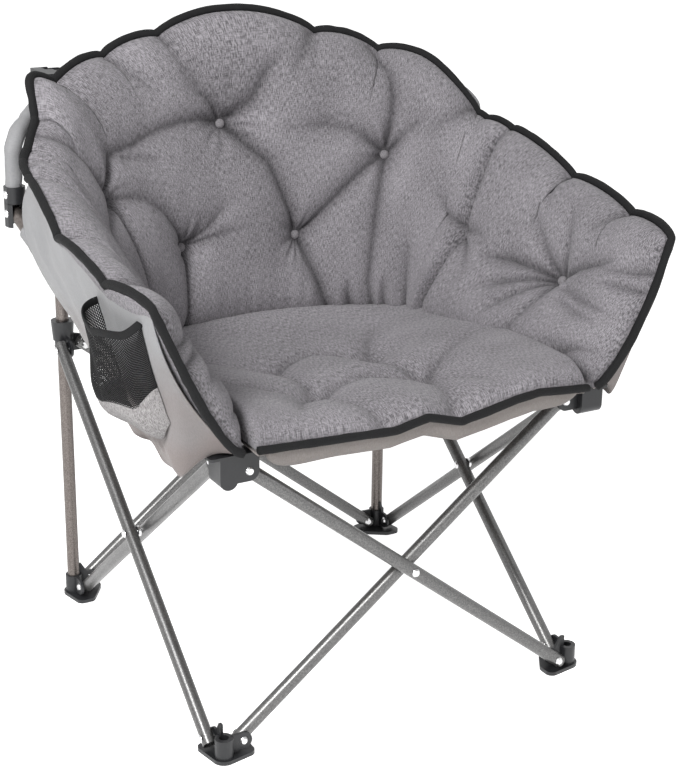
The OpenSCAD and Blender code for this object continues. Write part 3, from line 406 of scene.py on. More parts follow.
# %% Shell cloth
def shell_finish():
    """Plain polyester, with painted shade making it darker and warmer towards the hem."""
    material, tree, shader = blank("polyester_shell")
    weave = woven(tree, 1700.0, 0.16)
    place = node(tree, "ShaderNodeTexCoord")
    parts = node(tree, "ShaderNodeSeparateXYZ")
    feed(tree, parts.inputs[0], place.outputs["Object"])
    drift = ramp_between(tree, noise_of(tree, place.outputs["Object"], 7.0, 3.0), 0.3, 0.7, -0.05, 0.05)
    # Painted shade: the colour gets darker and warmer lower down, driven by the height above the floor.
    amount = ramp_between(tree, maths(tree, "ADD", parts.outputs["Z"], drift), 0.5, 0.62)
    for tone, warm, cool in (("Dark", (0.175, 0.153, 0.147, 1), (0.215, 0.215, 0.222, 1)),
                             ("Pale", (0.375, 0.33, 0.32, 1), (0.46, 0.46, 0.47, 1))):
        feed(tree, weave.inputs[tone], colour_mix(tree, amount, warm, cool))
    feed(tree, shader.inputs["Base Color"], weave.outputs["Color"])
    put(shader, Roughness=0.6, Sheen_Weight=0.15, Sheen_Roughness=0.35, Specular_IOR_Level=0.3)
    bumped(tree, shader, weave.outputs["Height"], 0.5, 0.0002)
    return material


shell_cloth = shell_finish()


# %% [markdown]
# ## Hard finishes
# The tubes carry a metallic hammered enamel, the fittings are moulded nylon with a fine grain, and
# the rivets are zinc plated. The frame's own pieces keep their shape and only change material.

# %% Hard finishes
def speckled(tree, shader, dimples, first, second, gloss, bump):
    """Specks or film between two colours, a film in the gloss, and dimples."""
    place = node(tree, "ShaderNodeTexCoord")
    specks = node(tree, "ShaderNodeGroup", node_tree=speck_effect)
    feed(tree, specks.inputs["Vector"], place.outputs["Object"])
    put(specks, Dimples_per_metre=dimples)
    which = "Film" if dimples > 1000 else "Specks"
    feed(tree, shader.inputs["Base Color"],
         colour_mix(tree, specks.outputs[which], (*first, 1), (*second, 1)))
    feed(tree, shader.inputs["Roughness"],
         ramp_between(tree, specks.outputs["Film"], 0.0, 1.0, *gloss))
    bumped(tree, shader, specks.outputs["Height"], *bump)


def hammered(name, dark, pale):
    """Grey metallic enamel with dimples and specks."""
    material, tree, shader = blank(name)
    speckled(tree, shader, 300.0, dark, pale, (0.3, 0.42), (0.08, 0.0003))
    put(shader, Metallic=0.75, Coat_Weight=0.1, Coat_Roughness=0.18)
    return material


def moulded(name, colour, gloss):
    """Moulded plastic with a fine grain and a faint film."""
    material, tree, shader = blank(name)
    worn = [value * 1.7 for value in colour]
    speckled(tree, shader, 1400.0, colour, worn, gloss, (0.25, 0.00012))
    put(shader, Specular_IOR_Level=0.5)
    return material


def plated(name):
    """Bright zinc with fine rubbed marks."""
    material, tree, shader = blank(name)
    speckled(tree, shader, 900.0, (0.62, 0.62, 0.63), (0.86, 0.86, 0.86), (0.2, 0.36), (0.2, 0.0001))
    put(shader, Metallic=1.0)
    return material


leg_enamel = hammered("hammered_leg_enamel", (0.115, 0.114, 0.113), (0.19, 0.188, 0.186))
post_enamel = hammered("hammered_post_enamel", (0.13, 0.112, 0.103), (0.22, 0.195, 0.182))
fitting_nylon = moulded("black_fitting_nylon", (0.014, 0.0145, 0.016), (0.34, 0.5))
rivet_zinc = plated("zinc_rivets")


# %% [markdown]
# ## Finishes on the frame's own pieces
# Each piece of the frame is found by its name, and its material slots get the new finish. The soft
# pieces aren't touched here, because new ones take their place below.

# %% Finish the frame's pieces
def finish_node(name, material):
    """Gives every slot of a frame piece one material."""
    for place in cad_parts[name].material_slots:
        place.material = material


posts = ("upright", "side_rail", "arm_tube", "arch_tube")
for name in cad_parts:
    if "rivet" in name or "link_pin" in name:
        finish_node(name, rivet_zinc)
    elif "_leg_" in name:
        finish_node(name, leg_enamel)
    elif name.startswith(posts):
        finish_node(name, post_enamel)
    elif name.startswith(("foot", "hub", "slider", "bracket", "elbow", "top_link")):
        finish_node(name, fitting_nylon)
print("frame pieces", len(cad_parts))

# %% [markdown]
# ## The bucket's sizes
# Four panels meet at seams: the seat, the back that bends round in a half circle, and two sides.
# Each one is a function from a flat pattern, 0 to 1 both ways, to a place in space. The rim isn't a
# smooth curve: the filling is drawn in at stitches along the edge, and puffs out between them.
# Lengths are in millimetres. Tape sizes are half of the section, and TAPE_OUT is how far the
# tape's middle lies outside the pad's edge.

# %% Sizes and small functions
SEAT_HALF = 268.0
RIM_HALF = 410.0
SEAM_Y = 78.0
BACK_DEPTH = 160.0
RIM_DEPTH = 232.0
SEAM_Z = 452.0
SEAM_RIM_Z = 762.0
TOP_RIM_Z = 935.0
TIP_Z = 682.0
FRONT_Y = -341.0
SEAM_HALF_T = 5.0
ARC_MM = 5.2
HIGH_MM = 420.0
VALLEYS = (-90, -74, -61, -42, -25, -11, 17, 35, 76, 90)
SIDE_VALLEYS = (0.0, 0.36, 0.73, 1.0)
PAD_THICK = 42
SEAT_THICK = 34
FULL_CREASE = 19
TAPE_WIDE = 6.4
TAPE_THICK = 5.8
TAPE_OUT = 5.5
SIDES = (("right", 1), ("left", -1))


def in_mm(places, across=ARC_MM, up=HIGH_MM):
    """Turns pattern places into millimetres on the flat cloth."""
    return [(place[0] * across, place[1] * up, *place[2:]) for place in places]


def mix(first, second, share):
    return first + (second - first) * share


def smooth(share):
    share = np.clip(share, 0, 1)
    return share * share * (3 - 2 * share)


def dome(share, power=5):
    """0 at both ends and nearly 1 between."""
    return 1 - np.abs(2 * share - 1) ** power


def round_edge(share, long, reach_low, reach_high):
    """0 at both ends, rising like a quarter circle over a reach in millimetres."""
    low = np.clip(1 - share * long / reach_low, 0, 1)
    high = np.clip(1 - (1 - share) * long / reach_high, 0, 1)
    return np.sqrt((1 - low * low) * (1 - high * high))


def scallops(value, valleys, size):
    """Rounded swellings between the stitched-in places of a rim."""
    height = np.zeros_like(value)
    for first, second in zip(valleys, valleys[1:]):
        inside = (value >= first) & (value <= second)
        share = np.clip((value - first) / (second - first), 0, 1)
        swell = size * (second - first) ** 0.9 * np.sin(math.pi * share) ** 0.55
        height = np.where(inside, swell, height)
    return height


def unit(vectors):
    return vectors / np.maximum(np.linalg.norm(vectors, axis=-1, keepdims=True), 1e-9)


def inward(surface, u, v):
    """The unit vector across a surface, towards the sitter, from the directions of its two edges."""
    step = 0.004
    low_u, high_u = np.clip(u - step, 0, 1), np.clip(u + step, 0, 1)
    low_v, high_v = np.clip(v - step, 0, 1), np.clip(v + step, 0, 1)
    along = surface(high_u, v) - surface(low_u, v)
    up = surface(u, high_v) - surface(u, low_v)
    return unit(np.cross(along, up))


def soft_noise(x, y, cell, seed):
    """Smooth random bumps about one cell wide, from -1 to 1, the same at each run."""
    table = np.random.RandomState(seed).uniform(-1, 1, (64, 64))
    gx, gy = x / cell + 23.5, y / cell + 31.5
    ix, iy = np.floor(gx).astype(int), np.floor(gy).astype(int)
    fx, fy = smooth(gx - ix), smooth(gy - iy)
    corners = [table[(ix + a) % 64, (iy + b) % 64] for a in (0, 1) for b in (0, 1)]
    return mix(mix(corners[0], corners[1], fy), mix(corners[2], corners[3], fy), fx)


# %% [markdown]
# ### The panels as surfaces
# The back leans out as it rises and turns from a round plan at the seat to a squarer one at the rim.
# The seam to the side bows forward halfway up. The side's front edge opens quickly and then
# climbs steeply to the tip. Over each side rail the rim is tucked in, and on the left it ends in
# one high, narrow lobe that stands at 51 degrees.

# %% Panel surfaces
def seam_line(v):
    return SEAM_Y - 34 * np.sin(math.pi * v) ** 1.5


def rim_height(theta):
    spread = np.sqrt(theta * theta + 9)
    return SEAM_RIM_Z + (TOP_RIM_Z - SEAM_RIM_Z) * np.clip(1 - spread / 80, 0, 1) ** 0.8


def back_surface(u, v):
    theta = -90 + 180 * u
    share = v ** 1.7
    power = mix(1.0, 0.77, share)
    sine = np.sin(np.radians(theta))
    cosine = np.clip(np.cos(np.radians(theta)), 0, 1)
    x = mix(SEAT_HALF, RIM_HALF, share) * np.sign(sine) * np.abs(sine) ** power
    y = mix(seam_line(v), SEAM_Y + mix(BACK_DEPTH, RIM_DEPTH, share), cosine ** power)
    tuck = 22 * np.exp(-((np.abs(theta) - 66) / 15) ** 2) * v ** 4
    x = x - tuck * sine
    y = y - tuck * cosine
    corner = np.exp(-((theta + 51) / 7) ** 2) * v ** 9
    x = x - 13 * corner
    y = y + 6 * corner
    z = mix(SEAM_Z, rim_height(theta), v) + scallops(theta, VALLEYS, 1.05) * v ** 7 + 22 * corner
    return np.stack([x, y, z], -1)


def base_height(w):
    return SEAM_Z + 26 * w + 14 * np.sin(math.pi * w)


def side_surface(w, v):
    share = v ** mix(1.5, 0.68, smooth(w))
    base_x = SEAT_HALF + 15 * w ** 6
    rim_x = RIM_HALF + 14 * np.sin(math.pi * w) - 8 * w ** 6
    rim_z = TIP_Z + (SEAM_RIM_Z - TIP_Z) * (1 - w) ** 2.2
    y = mix(seam_line(v), FRONT_Y, w) + 6 * w ** 6 * (1 - np.sin(math.pi * v))
    z = mix(base_height(w), rim_z, v) + scallops(w, SIDE_VALLEYS, 37) * v ** 7
    return np.stack([mix(base_x, rim_x, share), y, z], -1)


# %% [markdown]
# ## Quilting
# A button sewn through the pad pulls both faces together. The cloth between the buttons has too much
# length and falls into sharp creases that run from button to button and to the rim's stitched
# places. Each crease is a line on the flat pattern with a depth at every point. The pad's
# thickness is its full dome, less the deepest crease nearby.

# %% Quilting functions
def crease_depth(x, y, lines, width):
    """The depth of the deepest crease at each point, in millimetres."""
    depth = np.zeros_like(x)
    for line in lines:
        for (x0, y0, d0), (x1, y1, d1) in zip(line, line[1:]):
            run_x, run_y = x1 - x0, y1 - y0
            share = np.clip(((x - x0) * run_x + (y - y0) * run_y) / (run_x ** 2 + run_y ** 2), 0, 1)
            gap = np.hypot(x - x0 - run_x * share, y - y0 - run_y * share)
            shape = 0.5 * np.exp(-gap / (0.42 * width)) + 0.5 * np.exp(-(gap / (1.5 * width)) ** 1.5)
            depth = np.maximum(depth, mix(d0, d1, share) * shape)
    return depth


def tuft_pull(x, y, tufts, reach):
    """1 at a button, falling to 0 at its reach."""
    pull = np.zeros_like(x)
    for place in tufts:
        pull = np.maximum(pull, np.exp(-(np.hypot(x - place[0], y - place[1]) / reach) ** 1.15))
    return pull


def star_folds(x, y, tufts, seed):
    """Small folds that run out from each button like a star."""
    folds = np.zeros_like(x)
    for count, place in enumerate(tufts):
        away = np.hypot(x - place[0], y - place[1])
        around = np.arctan2(y - place[1], x - place[0])
        wave = np.cos(9 * around + 1.3 * np.sin(2 * around + count) + seed + count)
        folds = folds + wave * np.exp(-((away - 20) / 20) ** 2)
    return folds


def edge_puckers(x, gap, pitch, seed):
    """Small gathers that stand square to a sewn edge and fade away from it."""
    drift = soft_noise(x, 0 * x, 3 * pitch, seed)
    wave = np.sin(2 * math.pi * x / pitch + 2.6 * drift)
    strength = 0.6 + 0.4 * soft_noise(x, 0 * x + 50, 2 * pitch, seed + 1)
    return wave * strength * np.exp(-gap / 26)


# %% [markdown]
# ## Making a padded panel
# A pad is two sheets with the same outline, joined along the edge. Both start as one flat grid; the
# second is its copy, and bridging the two open borders closes the pad. The flat place of each vertex
# is kept as a UV map in metres before the vertex moves to its place in space.

# %% Grids, pads and cloth
def flat_grid(columns, rows):
    """A grid over 0 to 1 both ways."""
    shape = bmesh.new()
    bmesh.ops.create_grid(shape, x_segments=columns, y_segments=rows, size=0.5)
    bmesh.ops.translate(shape, verts=shape.verts, vec=(0.5, 0.5, 0))
    return shape


def pad_block(columns, rows):
    """Two grids, one below the other, with their borders bridged."""
    shape = flat_grid(columns, rows)
    copy = bmesh.ops.duplicate(shape, geom=shape.verts[:] + shape.edges[:] + shape.faces[:])["geom"]
    under = [item for item in copy if isinstance(item, bmesh.types.BMVert)]
    bmesh.ops.translate(shape, verts=under, vec=(0, 0, -1))
    bmesh.ops.reverse_faces(shape, faces=[item for item in copy if isinstance(item, bmesh.types.BMFace)])
    bmesh.ops.bridge_loops(shape, edges=[edge for edge in shape.edges if edge.is_boundary])
    bmesh.ops.recalc_face_normals(shape, faces=shape.faces)
    return shape


def place_piece(shape, name, place, flat_size, material, weld=False, crease_shading=None):
    """Moves a flat shape into space, with its UV map and painted crease shade value, and makes the object.
    """
    mesh = bpy.data.meshes.new(name)
    shape.to_mesh(mesh)
    shape.free()
    flat = np.empty(len(mesh.vertices) * 3)
    mesh.vertices.foreach_get("co", flat)
    flat = flat.reshape(-1, 3)
    corners = np.empty(len(mesh.loops), dtype=np.int32)
    mesh.loops.foreach_get("vertex_index", corners)
    pattern = mesh.uv_layers.new(name="cloth")
    pattern.data.foreach_set("uv", (flat[:, :2] * np.array(flat_size) * 0.001)[corners].ravel())
    u, v = np.clip(flat[:, 0], 0, 1), np.clip(flat[:, 1], 0, 1)
    mesh.vertices.foreach_set("co", (place(u, v, flat[:, 2]) * 0.001).ravel())
    # The crease value stored here is painted shade that darkens the cloth's colour.
    if crease_shading:
        painted_shade_values = mesh.attributes.new("crease", "FLOAT", "POINT")
        painted_shade_values.data.foreach_set("value", np.where(flat[:, 2] > -0.5, np.clip(crease_shading(u, v), 0, 1), 0))
    mesh.update()
    placed = bmesh.new()
    placed.from_mesh(mesh)
    if weld:
        bmesh.ops.remove_doubles(placed, verts=placed.verts, dist=0.00002)
        open_edges = [edge for edge in placed.edges if edge.is_boundary]
        if open_edges:
            bmesh.ops.holes_fill(placed, edges=open_edges, sides=0)
        bmesh.ops.recalc_face_normals(placed, faces=placed.faces)
    if all(not edge.is_boundary for edge in placed.edges) and placed.calc_volume(signed=True) < 0:
        bmesh.ops.reverse_faces(placed, faces=placed.faces)
    placed.to_mesh(mesh)
    placed.free()
    mesh.shade_smooth()
    mesh.materials.append(material)
    return new_object(name, mesh)


FOLDS = {
    "back_middle": ((1, 0, 0), (0, 0.2, 0.6), 0.14),
    "right_post": ((0, 1, 0), (0.38, 0.21, 0.6), 0.3),
    "left_post": ((0, 1, 0), (-0.38, 0.21, 0.6), 0.3),
    "seat": ((1, 0, 0), (0, 0, 0.45), 0.14),
}


def settle(piece, body, nodes, soft=True):
    """Attaches a piece to the body it rides on, gives it its own mesh when that body is listed in FOLDS,
    and hides the frame pieces it stands for.
    """
    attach(piece, body)
    if soft and body in FOLDS:
        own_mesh(piece)
    if nodes:
        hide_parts(*nodes)
    triangles = sum(len(face.vertices) - 2 for face in piece.data.polygons)
    print(piece.name, triangles, "triangles")
    return piece


# %% [markdown]
# ## Back pad
# The largest panel. Its five buttons stand in two rows, and the strongest crease runs from the
# upper middle button over the lower right one down to the seat. The creases were read off the
# photo one by one, as an angle round the back and a share of its height.

# %% Back creases
BACK_TUFTS = ((-3, 0.685), (45, 0.655), (-52, 0.63), (-23, 0.325), (18, 0.31))
BACK_CREASES = (
    ((-3, 0.69, 21), (2, 0.60, 19), (7, 0.55, 18), (11, 0.47, 18), (15, 0.39, 19), (18, 0.31, 21)),
    ((18, 0.31, 21), (22, 0.23, 18), (27, 0.14, 17), (32, 0.03, 15)),
    ((-3, 0.69, 21), (0, 0.71, 17), (3, 0.75, 15), (5, 0.82, 13), (8, 0.9, 4)),
    ((-3, 0.69, 21), (-5, 0.75, 14), (-8, 0.81, 11), (-10, 0.9, 8), (-11, 1.0, 14)),
    ((-3, 0.69, 20), (-2, 0.74, 9), (-1, 0.84, 3)),
    ((-3, 0.69, 20), (-10, 0.72, 15), (-18, 0.73, 13), (-25, 0.73, 13), (-33, 0.72, 13), (-44, 0.74, 15),
     (-52, 0.63, 18)),
    ((-39, 0.71, 12), (-28, 0.65, 5)),
    ((45, 0.66, 21), (45, 0.76, 16), (44, 0.84, 14), (41, 0.91, 12), (32, 0.99, 16)),
    ((45, 0.66, 21), (39, 0.58, 16), (33, 0.50, 15), (27, 0.42, 15), (18, 0.31, 20)),
    ((45, 0.65, 21), (46, 0.54, 15), (47, 0.42, 13), (48, 0.31, 12), (49, 0.17, 12), (53, 0.03, 14)),
    ((45, 0.66, 20), (33, 0.70, 10), (23, 0.70, 9), (11, 0.66, 3)),
    ((45, 0.66, 20), (52, 0.75, 9), (60, 0.84, 3)),
    ((-23, 0.33, 20), (-27, 0.41, 14), (-31, 0.48, 12), (-38, 0.55, 10), (-52, 0.63, 16)),
    ((-23, 0.33, 20), (-15, 0.37, 11), (-8, 0.43, 4)),
    ((-23, 0.33, 20), (-11, 0.34, 7), (-2, 0.34, 2)),
    ((-23, 0.33, 20), (-25, 0.26, 15), (-28, 0.17, 14), (-31, 0.04, 14)),
    ((-52, 0.63, 20), (-54, 0.45, 13), (-56, 0.25, 12), (-58, 0.04, 14)),
    ((-52, 0.63, 20), (-60, 0.8, 12), (-69, 1.0, 14)),
    ((-52, 0.63, 20), (-72, 0.58, 9), (-90, 0.52, 14)),
    ((90, 0.54, 16), (80, 0.56, 10), (73, 0.60, 4)),
    ((75, 0.03, 16), (72, 0.15, 13), (66, 0.35, 4)),
    ((60, 0.03, 14), (58, 0.12, 11), (57, 0.2, 3)),
    ((42, 0.03, 14), (40, 0.1, 10), (39, 0.17, 3)),
    ((75, 1.0, 16), (70, 0.9, 9), (62, 0.8, 3)),
    ((16, 1.0, 16), (14, 0.93, 10), (11, 0.84, 3)),
    ((-25, 1.0, 16), (-23, 0.92, 10), (-19, 0.84, 3)),
    ((-44, 1.0, 16), (-42, 0.92, 10), (-40, 0.83, 3)),
)


# %% Back pad
def back_flat(u, v):
    """The place on the flat cloth, in millimetres."""
    return (-90 + 180 * u) * ARC_MM, v * HIGH_MM


def back_thickness(u, v):
    """How far the quilted face stands in front of the panel's middle."""
    x, y = back_flat(u, v)
    tufts = in_mm(BACK_TUFTS)
    full = PAD_THICK * round_edge(u, 990, 26, 26) * round_edge(v, 450, 60, 58)
    pulled = full - 30 * tuft_pull(x, y, tufts, 27)
    folded = pulled - 1.3 * crease_depth(x, y, [in_mm(line) for line in BACK_CREASES], 18)
    small = 2.3 * star_folds(x, y, tufts, 0.4) + 1.8 * soft_noise(x, y * 0.6, 48, 3)
    small = small + 0.9 * soft_noise(x, y * 0.5, 20, 4)
    gathers = 3.0 * edge_puckers(x, y, 31, 5) + 3.2 * edge_puckers(x, HIGH_MM - y, 34, 6)
    blend = dome(u, 12) * dome(v, 9)
    return SEAM_HALF_T + np.maximum(folded, 0.4 * dome(u, 9) * dome(v, 5)) + (small + gathers) * blend


def back_crease_shade(u, v):
    """Painted shade: 1 deep in a crease or at the seam with the seat, 0 on the open cloth."""
    x, y = back_flat(u, v)
    lines = crease_depth(x, y, [in_mm(line) for line in BACK_CREASES], 8) / FULL_CREASE
    return lines + np.exp(-y / 14) + 0.7 * tuft_pull(x, y, in_mm(BACK_TUFTS), 9)


def back_place(u, v, side):
    front = back_thickness(u, v)
    rear = -(SEAM_HALF_T + 3.5 * dome(u) * dome(v))
    return back_surface(u, v) + inward(back_surface, u, v) * np.where(side > -0.5, front, rear)[:, None]


back_pad = place_piece(pad_block(300, 136), "back_pad", back_place, (990, 450), quilt_cloth,
                       crease_shading=back_crease_shade)
settle(back_pad, "back_middle", ["back_cushion"])

# %% [markdown]
# ## Side pads
# The sides are alike but for their hand, so one function makes both and a sign mirrors it. Each has
# a button off the middle, with long creases to the front edge and the seam, and a second one on
# the seam with the back.

# %% Side pads
SIDE_TUFT = (0.56, 0.48)
SEAM_TUFT = (0.012, 0.5)
SIDE_CREASES = (
    ((0.56, 0.48, 23), (0.45, 0.475, 17), (0.33, 0.47, 16), (0.22, 0.44, 7)),
    ((0.56, 0.48, 23), (0.47, 0.41, 14), (0.36, 0.33, 11), (0.25, 0.27, 4)),
    ((0.56, 0.48, 22), (0.50, 0.36, 12), (0.42, 0.22, 9), (0.38, 0.12, 3)),
    ((0.56, 0.48, 22), (0.57, 0.62, 12), (0.55, 0.76, 8), (0.53, 0.86, 3)),
    ((0.56, 0.48, 22), (0.46, 0.60, 12), (0.38, 0.70, 7), (0.33, 0.78, 3)),
    ((0.56, 0.48, 22), (0.66, 0.56, 14), (0.77, 0.64, 11), (0.86, 0.71, 4)),
    ((0.56, 0.48, 22), (0.57, 0.33, 11), (0.56, 0.17, 8), (0.54, 0.03, 10)),
    ((0.66, 0.42, 9), (0.76, 0.39, 11), (0.86, 0.38, 8), (0.94, 0.40, 3)),
    ((0.68, 0.34, 6), (0.78, 0.30, 9), (0.88, 0.30, 4)),
    ((1.0, 0.76, 16), (0.95, 0.70, 13), (0.88, 0.66, 8), (0.78, 0.62, 3)),
    ((1.0, 0.62, 14), (0.93, 0.58, 11), (0.84, 0.54, 5)),
    ((0.73, 1.0, 16), (0.70, 0.9, 10), (0.66, 0.8, 4)),
    ((0.36, 1.0, 16), (0.37, 0.9, 10), (0.40, 0.8, 4)),
    ((0.0, 0.5, 22), (0.07, 0.46, 14), (0.13, 0.38, 7), (0.17, 0.3, 3)),
    ((0.0, 0.5, 18), (0.10, 0.53, 9), (0.19, 0.50, 3)),
    ((0.8, 0.03, 12), (0.88, 0.1, 9), (0.97, 0.14, 4)),
)
SIDE_LONG = 425.0
SIDE_HIGH = 300.0
SIDE_LINES = [in_mm(line, SIDE_LONG, SIDE_HIGH) for line in SIDE_CREASES]
SIDE_TUFTS = in_mm([SIDE_TUFT], SIDE_LONG, SIDE_HIGH)


def side_thickness(w, v, seed):
    """How far the quilted face stands in front of the panel's middle."""
    x, y = w * SIDE_LONG, v * SIDE_HIGH
    full = PAD_THICK * round_edge(w, SIDE_LONG, 26, 70) * round_edge(v, SIDE_HIGH, 50, 60)
    pulled = full - 31 * tuft_pull(x, y, SIDE_TUFTS, 28)
    folded = pulled - 1.3 * crease_depth(x, y, SIDE_LINES, 17)
    small = 1.8 * star_folds(x, y, SIDE_TUFTS, seed) + 1.4 * soft_noise(x, y, 50, seed)
    small = small + 0.6 * soft_noise(x, y, 22, seed + 1)
    gathers = 2.4 * edge_puckers(x, y, 29, seed + 2)
    gathers = gathers + 2.0 * edge_puckers(x, SIDE_HIGH - y, 34, seed + 3)
    front = 2.0 * edge_puckers(y, SIDE_LONG - x, 33, seed + 4)
    blend = dome(w, 10) * dome(v, 9)
    return SEAM_HALF_T + np.maximum(folded, 0.4 * dome(w) * dome(v)) + (small + gathers + front) * blend


def side_crease_shade(w, v):
    """Painted shade: 1 deep in a crease or at a seam, 0 on the open cloth."""
    x, y = w * SIDE_LONG, v * SIDE_HIGH
    seam_shade = 0.8 * np.exp(-y / 12) + np.exp(-x / 9)
    return crease_depth(x, y, SIDE_LINES, 8) / FULL_CREASE + seam_shade + 0.7 * tuft_pull(x, y, SIDE_TUFTS, 9)


def side_place(hand, seed):
    """A place function for the right (1) or left (-1) side."""
    def place(w, v, side):
        inner = side_thickness(w, v, seed)
        outer = -(SEAM_HALF_T + 3.5 * dome(w) * dome(v))
        away = np.where(side > -0.5, inner, outer)[:, None]
        points = side_surface(w, v) + inward(side_surface, w, v) * away
        return points * np.array([hand, 1, 1])
    return place


for side_name, hand, seed in (("right", 1, 11), ("left", -1, 31)):
    side_pad = place_piece(pad_block(140, 104), side_name + "_side_pad", side_place(hand, seed),
                           (430, 310), quilt_cloth, crease_shading=side_crease_shade)
    settle(side_pad, side_name + "_post", [side_name + "_side_cushion"])

# %% [markdown]
# ## Seat pad
# The seat hangs like a shallow hammock between its seams, and four stitches without buttons divide
# it into pillows. Its front edge isn't straight: it sags between the places where the sling holds it.

# %% Seat pad
SEAT_X = 262.6
SEAT_TUFTS = ((-88, -28), (86, -30), (-90, -182), (92, -180))
SEAT_CREASES = (
    ((86, -30, 20), (110, 20, 13), (150, 70, 6)),
    ((86, -30, 20), (70, -80, 12), (85, -130, 12), (92, -180, 20)),
    ((92, -180, 20), (130, -150, 14), (180, -120, 9), (215, -110, 5)),
    ((-88, -28, 20), (-40, 5, 15), (0, 20, 12), (40, 5, 12), (86, -30, 20)),
    ((-90, -182, 20), (-40, -150, 14), (10, -140, 13), (50, -155, 14), (92, -180, 20)),
    ((-90, -182, 20), (-80, -130, 13), (-85, -80, 12), (-88, -28, 20)),
    ((-88, -28, 20), (-140, -10, 12), (-200, 20, 7)),
    ((-90, -182, 20), (-140, -230, 12), (-170, -290, 7)),
    ((92, -180, 20), (110, -240, 10), (130, -300, 5)),
    ((-90, -182, 18), (-160, -170, 10), (-220, -150, 6)),
    ((40, -341, 16), (60, -290, 11), (92, -180, 12)),
    ((-70, -341, 14), (-80, -280, 9), (-90, -182, 12)),
)
FRONT_X = (-268, -129, -58, -5, 50, 95, 140, 178, 268)
FRONT_DROP = (0, -6, -9, 1, -14, -6, 3, 7, 0)


def seat_plan(u, q):
    theta = np.radians(-90 + 180 * u)
    x = SEAT_X * np.sin(theta)
    y = mix(FRONT_Y, SEAM_Y + 154.6 * np.cos(theta), q)
    return x, y


def front_wave(x, y):
    """The front edge's sag, fading to the rear."""
    return np.interp(x, FRONT_X, FRONT_DROP) * np.exp(-(y - FRONT_Y) / 60)


def seat_level(x, y):
    """The middle of the seat's thickness: its seams' height, less the hammock's sag."""
    w = np.clip((SEAM_Y - y) / (SEAM_Y - FRONT_Y), 0, 1)
    run = np.clip((y - FRONT_Y) / (SEAM_Y + BACK_DEPTH - FRONT_Y), 0, 1)
    sag = 34 * (1 - (x / SEAT_X) ** 2) * np.sin(math.pi * run ** 0.8) ** 0.8
    return base_height(w) + 2 - sag + front_wave(x, y)


def seat_place(u, q, side):
    x, y = seat_plan(u, q)
    full = SEAT_THICK * round_edge(u, 840, 90, 90) * round_edge(q, 570, 52, 60)
    pulled = full - 26 * tuft_pull(x, y, SEAT_TUFTS, 36)
    folded = pulled - 1.25 * crease_depth(x, y, SEAT_CREASES, 24)
    small = 1.2 * soft_noise(x, y, 60, 51) + 0.6 * soft_noise(x, y, 26, 52)
    small = small + star_folds(x, y, SEAT_TUFTS, 2.0)
    gathers = 1.8 * edge_puckers(x, y - FRONT_Y, 34, 53)
    top = 4 + np.maximum(folded, 0) + (small + gathers) * dome(u, 8) * dome(q, 8)
    bottom = -4 - dome(u) * dome(q)
    return np.stack([x, y, seat_level(x, y) + np.where(side > -0.5, top, bottom)], -1)


# Painted shade for the seat: darker in its creases and at its stitches.
def seat_crease_shade(u, q):
    x, y = seat_plan(u, q)
    lines = 0.7 * crease_depth(x, y, SEAT_CREASES, 9) / FULL_CREASE
    return lines + 0.6 * tuft_pull(x, y, SEAT_TUFTS, 10)


seat_pad = place_piece(pad_block(160, 160), "seat_pad", seat_place, (560, 560), quilt_cloth,
                       crease_shading=seat_crease_shade)
settle(seat_pad, "seat", ["seat_cushion"])

# %% [markdown]
# ## Tubes of cloth along a line
# Binding tape, sleeves and threads are all long pieces with a small section. A grid is rolled round
# the line: one way of the grid runs along it, the other goes once round. The ends are then closed.

# %% Tube along a line
def along(run, values, share):
    """The values at a share of the line's length."""
    return np.stack([np.interp(share, run, values[:, axis]) for axis in range(3)], -1)


def tube_piece(name, points, ups, half_wide, half_thick, material, columns, around=12, ripple=0.0, seed=1):
    """A closed tube with an oval section. ups point along its wide way."""
    points = np.array(points, float)
    ups = unit(np.array(ups, float))
    steps = np.linalg.norm(np.diff(points, axis=0), axis=1)
    run = np.concatenate([[0], np.cumsum(steps)])
    length = float(steps.sum())
    run = run / run[-1]

    def place(u, v, side):
        centre = along(run, points, u)
        further = along(run, points, np.clip(u + 0.004, 0, 1))
        ahead = unit(further - along(run, points, np.clip(u - 0.004, 0, 1)))
        up = along(run, ups, u)
        across = unit(np.cross(ahead, up))
        up = unit(np.cross(across, ahead))
        angle = 2 * math.pi * v
        swell = 1 + ripple * soft_noise(u * length, np.sin(angle) * 8, 14, seed)
        wide = np.sign(np.cos(angle)) * np.abs(np.cos(angle)) ** 0.85 * half_wide * swell
        thick = np.sign(np.sin(angle)) * np.abs(np.sin(angle)) ** 0.85 * half_thick * swell
        return centre + up * wide[:, None] + across * thick[:, None]

    around_mm = math.pi * (half_wide + half_thick)
    return place_piece(flat_grid(columns, around), name, place, (length, around_mm), material, weld=True)


# %% [markdown]
# ## Binding tape
# Black tape is folded over the raw edge of all panels and sewn through. It follows the scallops,
# so it uses the same surfaces as the pads, a few millimetres past their edge.

# %% Binding tape
def up_of(surface, u, v):
    """The direction of rising v on a surface."""
    low, high = np.clip(v - 0.01, 0, 1), np.clip(v + 0.01, 0, 1)
    return unit(surface(u, high) - surface(u, low))


shares = np.linspace(0, 1, 241)
ones = np.ones_like(shares)
back_up = up_of(back_surface, shares, ones)
back_rim = back_surface(shares, ones) + back_up * TAPE_OUT
back_tape = tube_piece("back_tape", back_rim, back_up, TAPE_WIDE, TAPE_THICK, tape_cloth, 300, 14, 0.1, 2)
settle(back_tape, "back_middle", ["back_trim"])


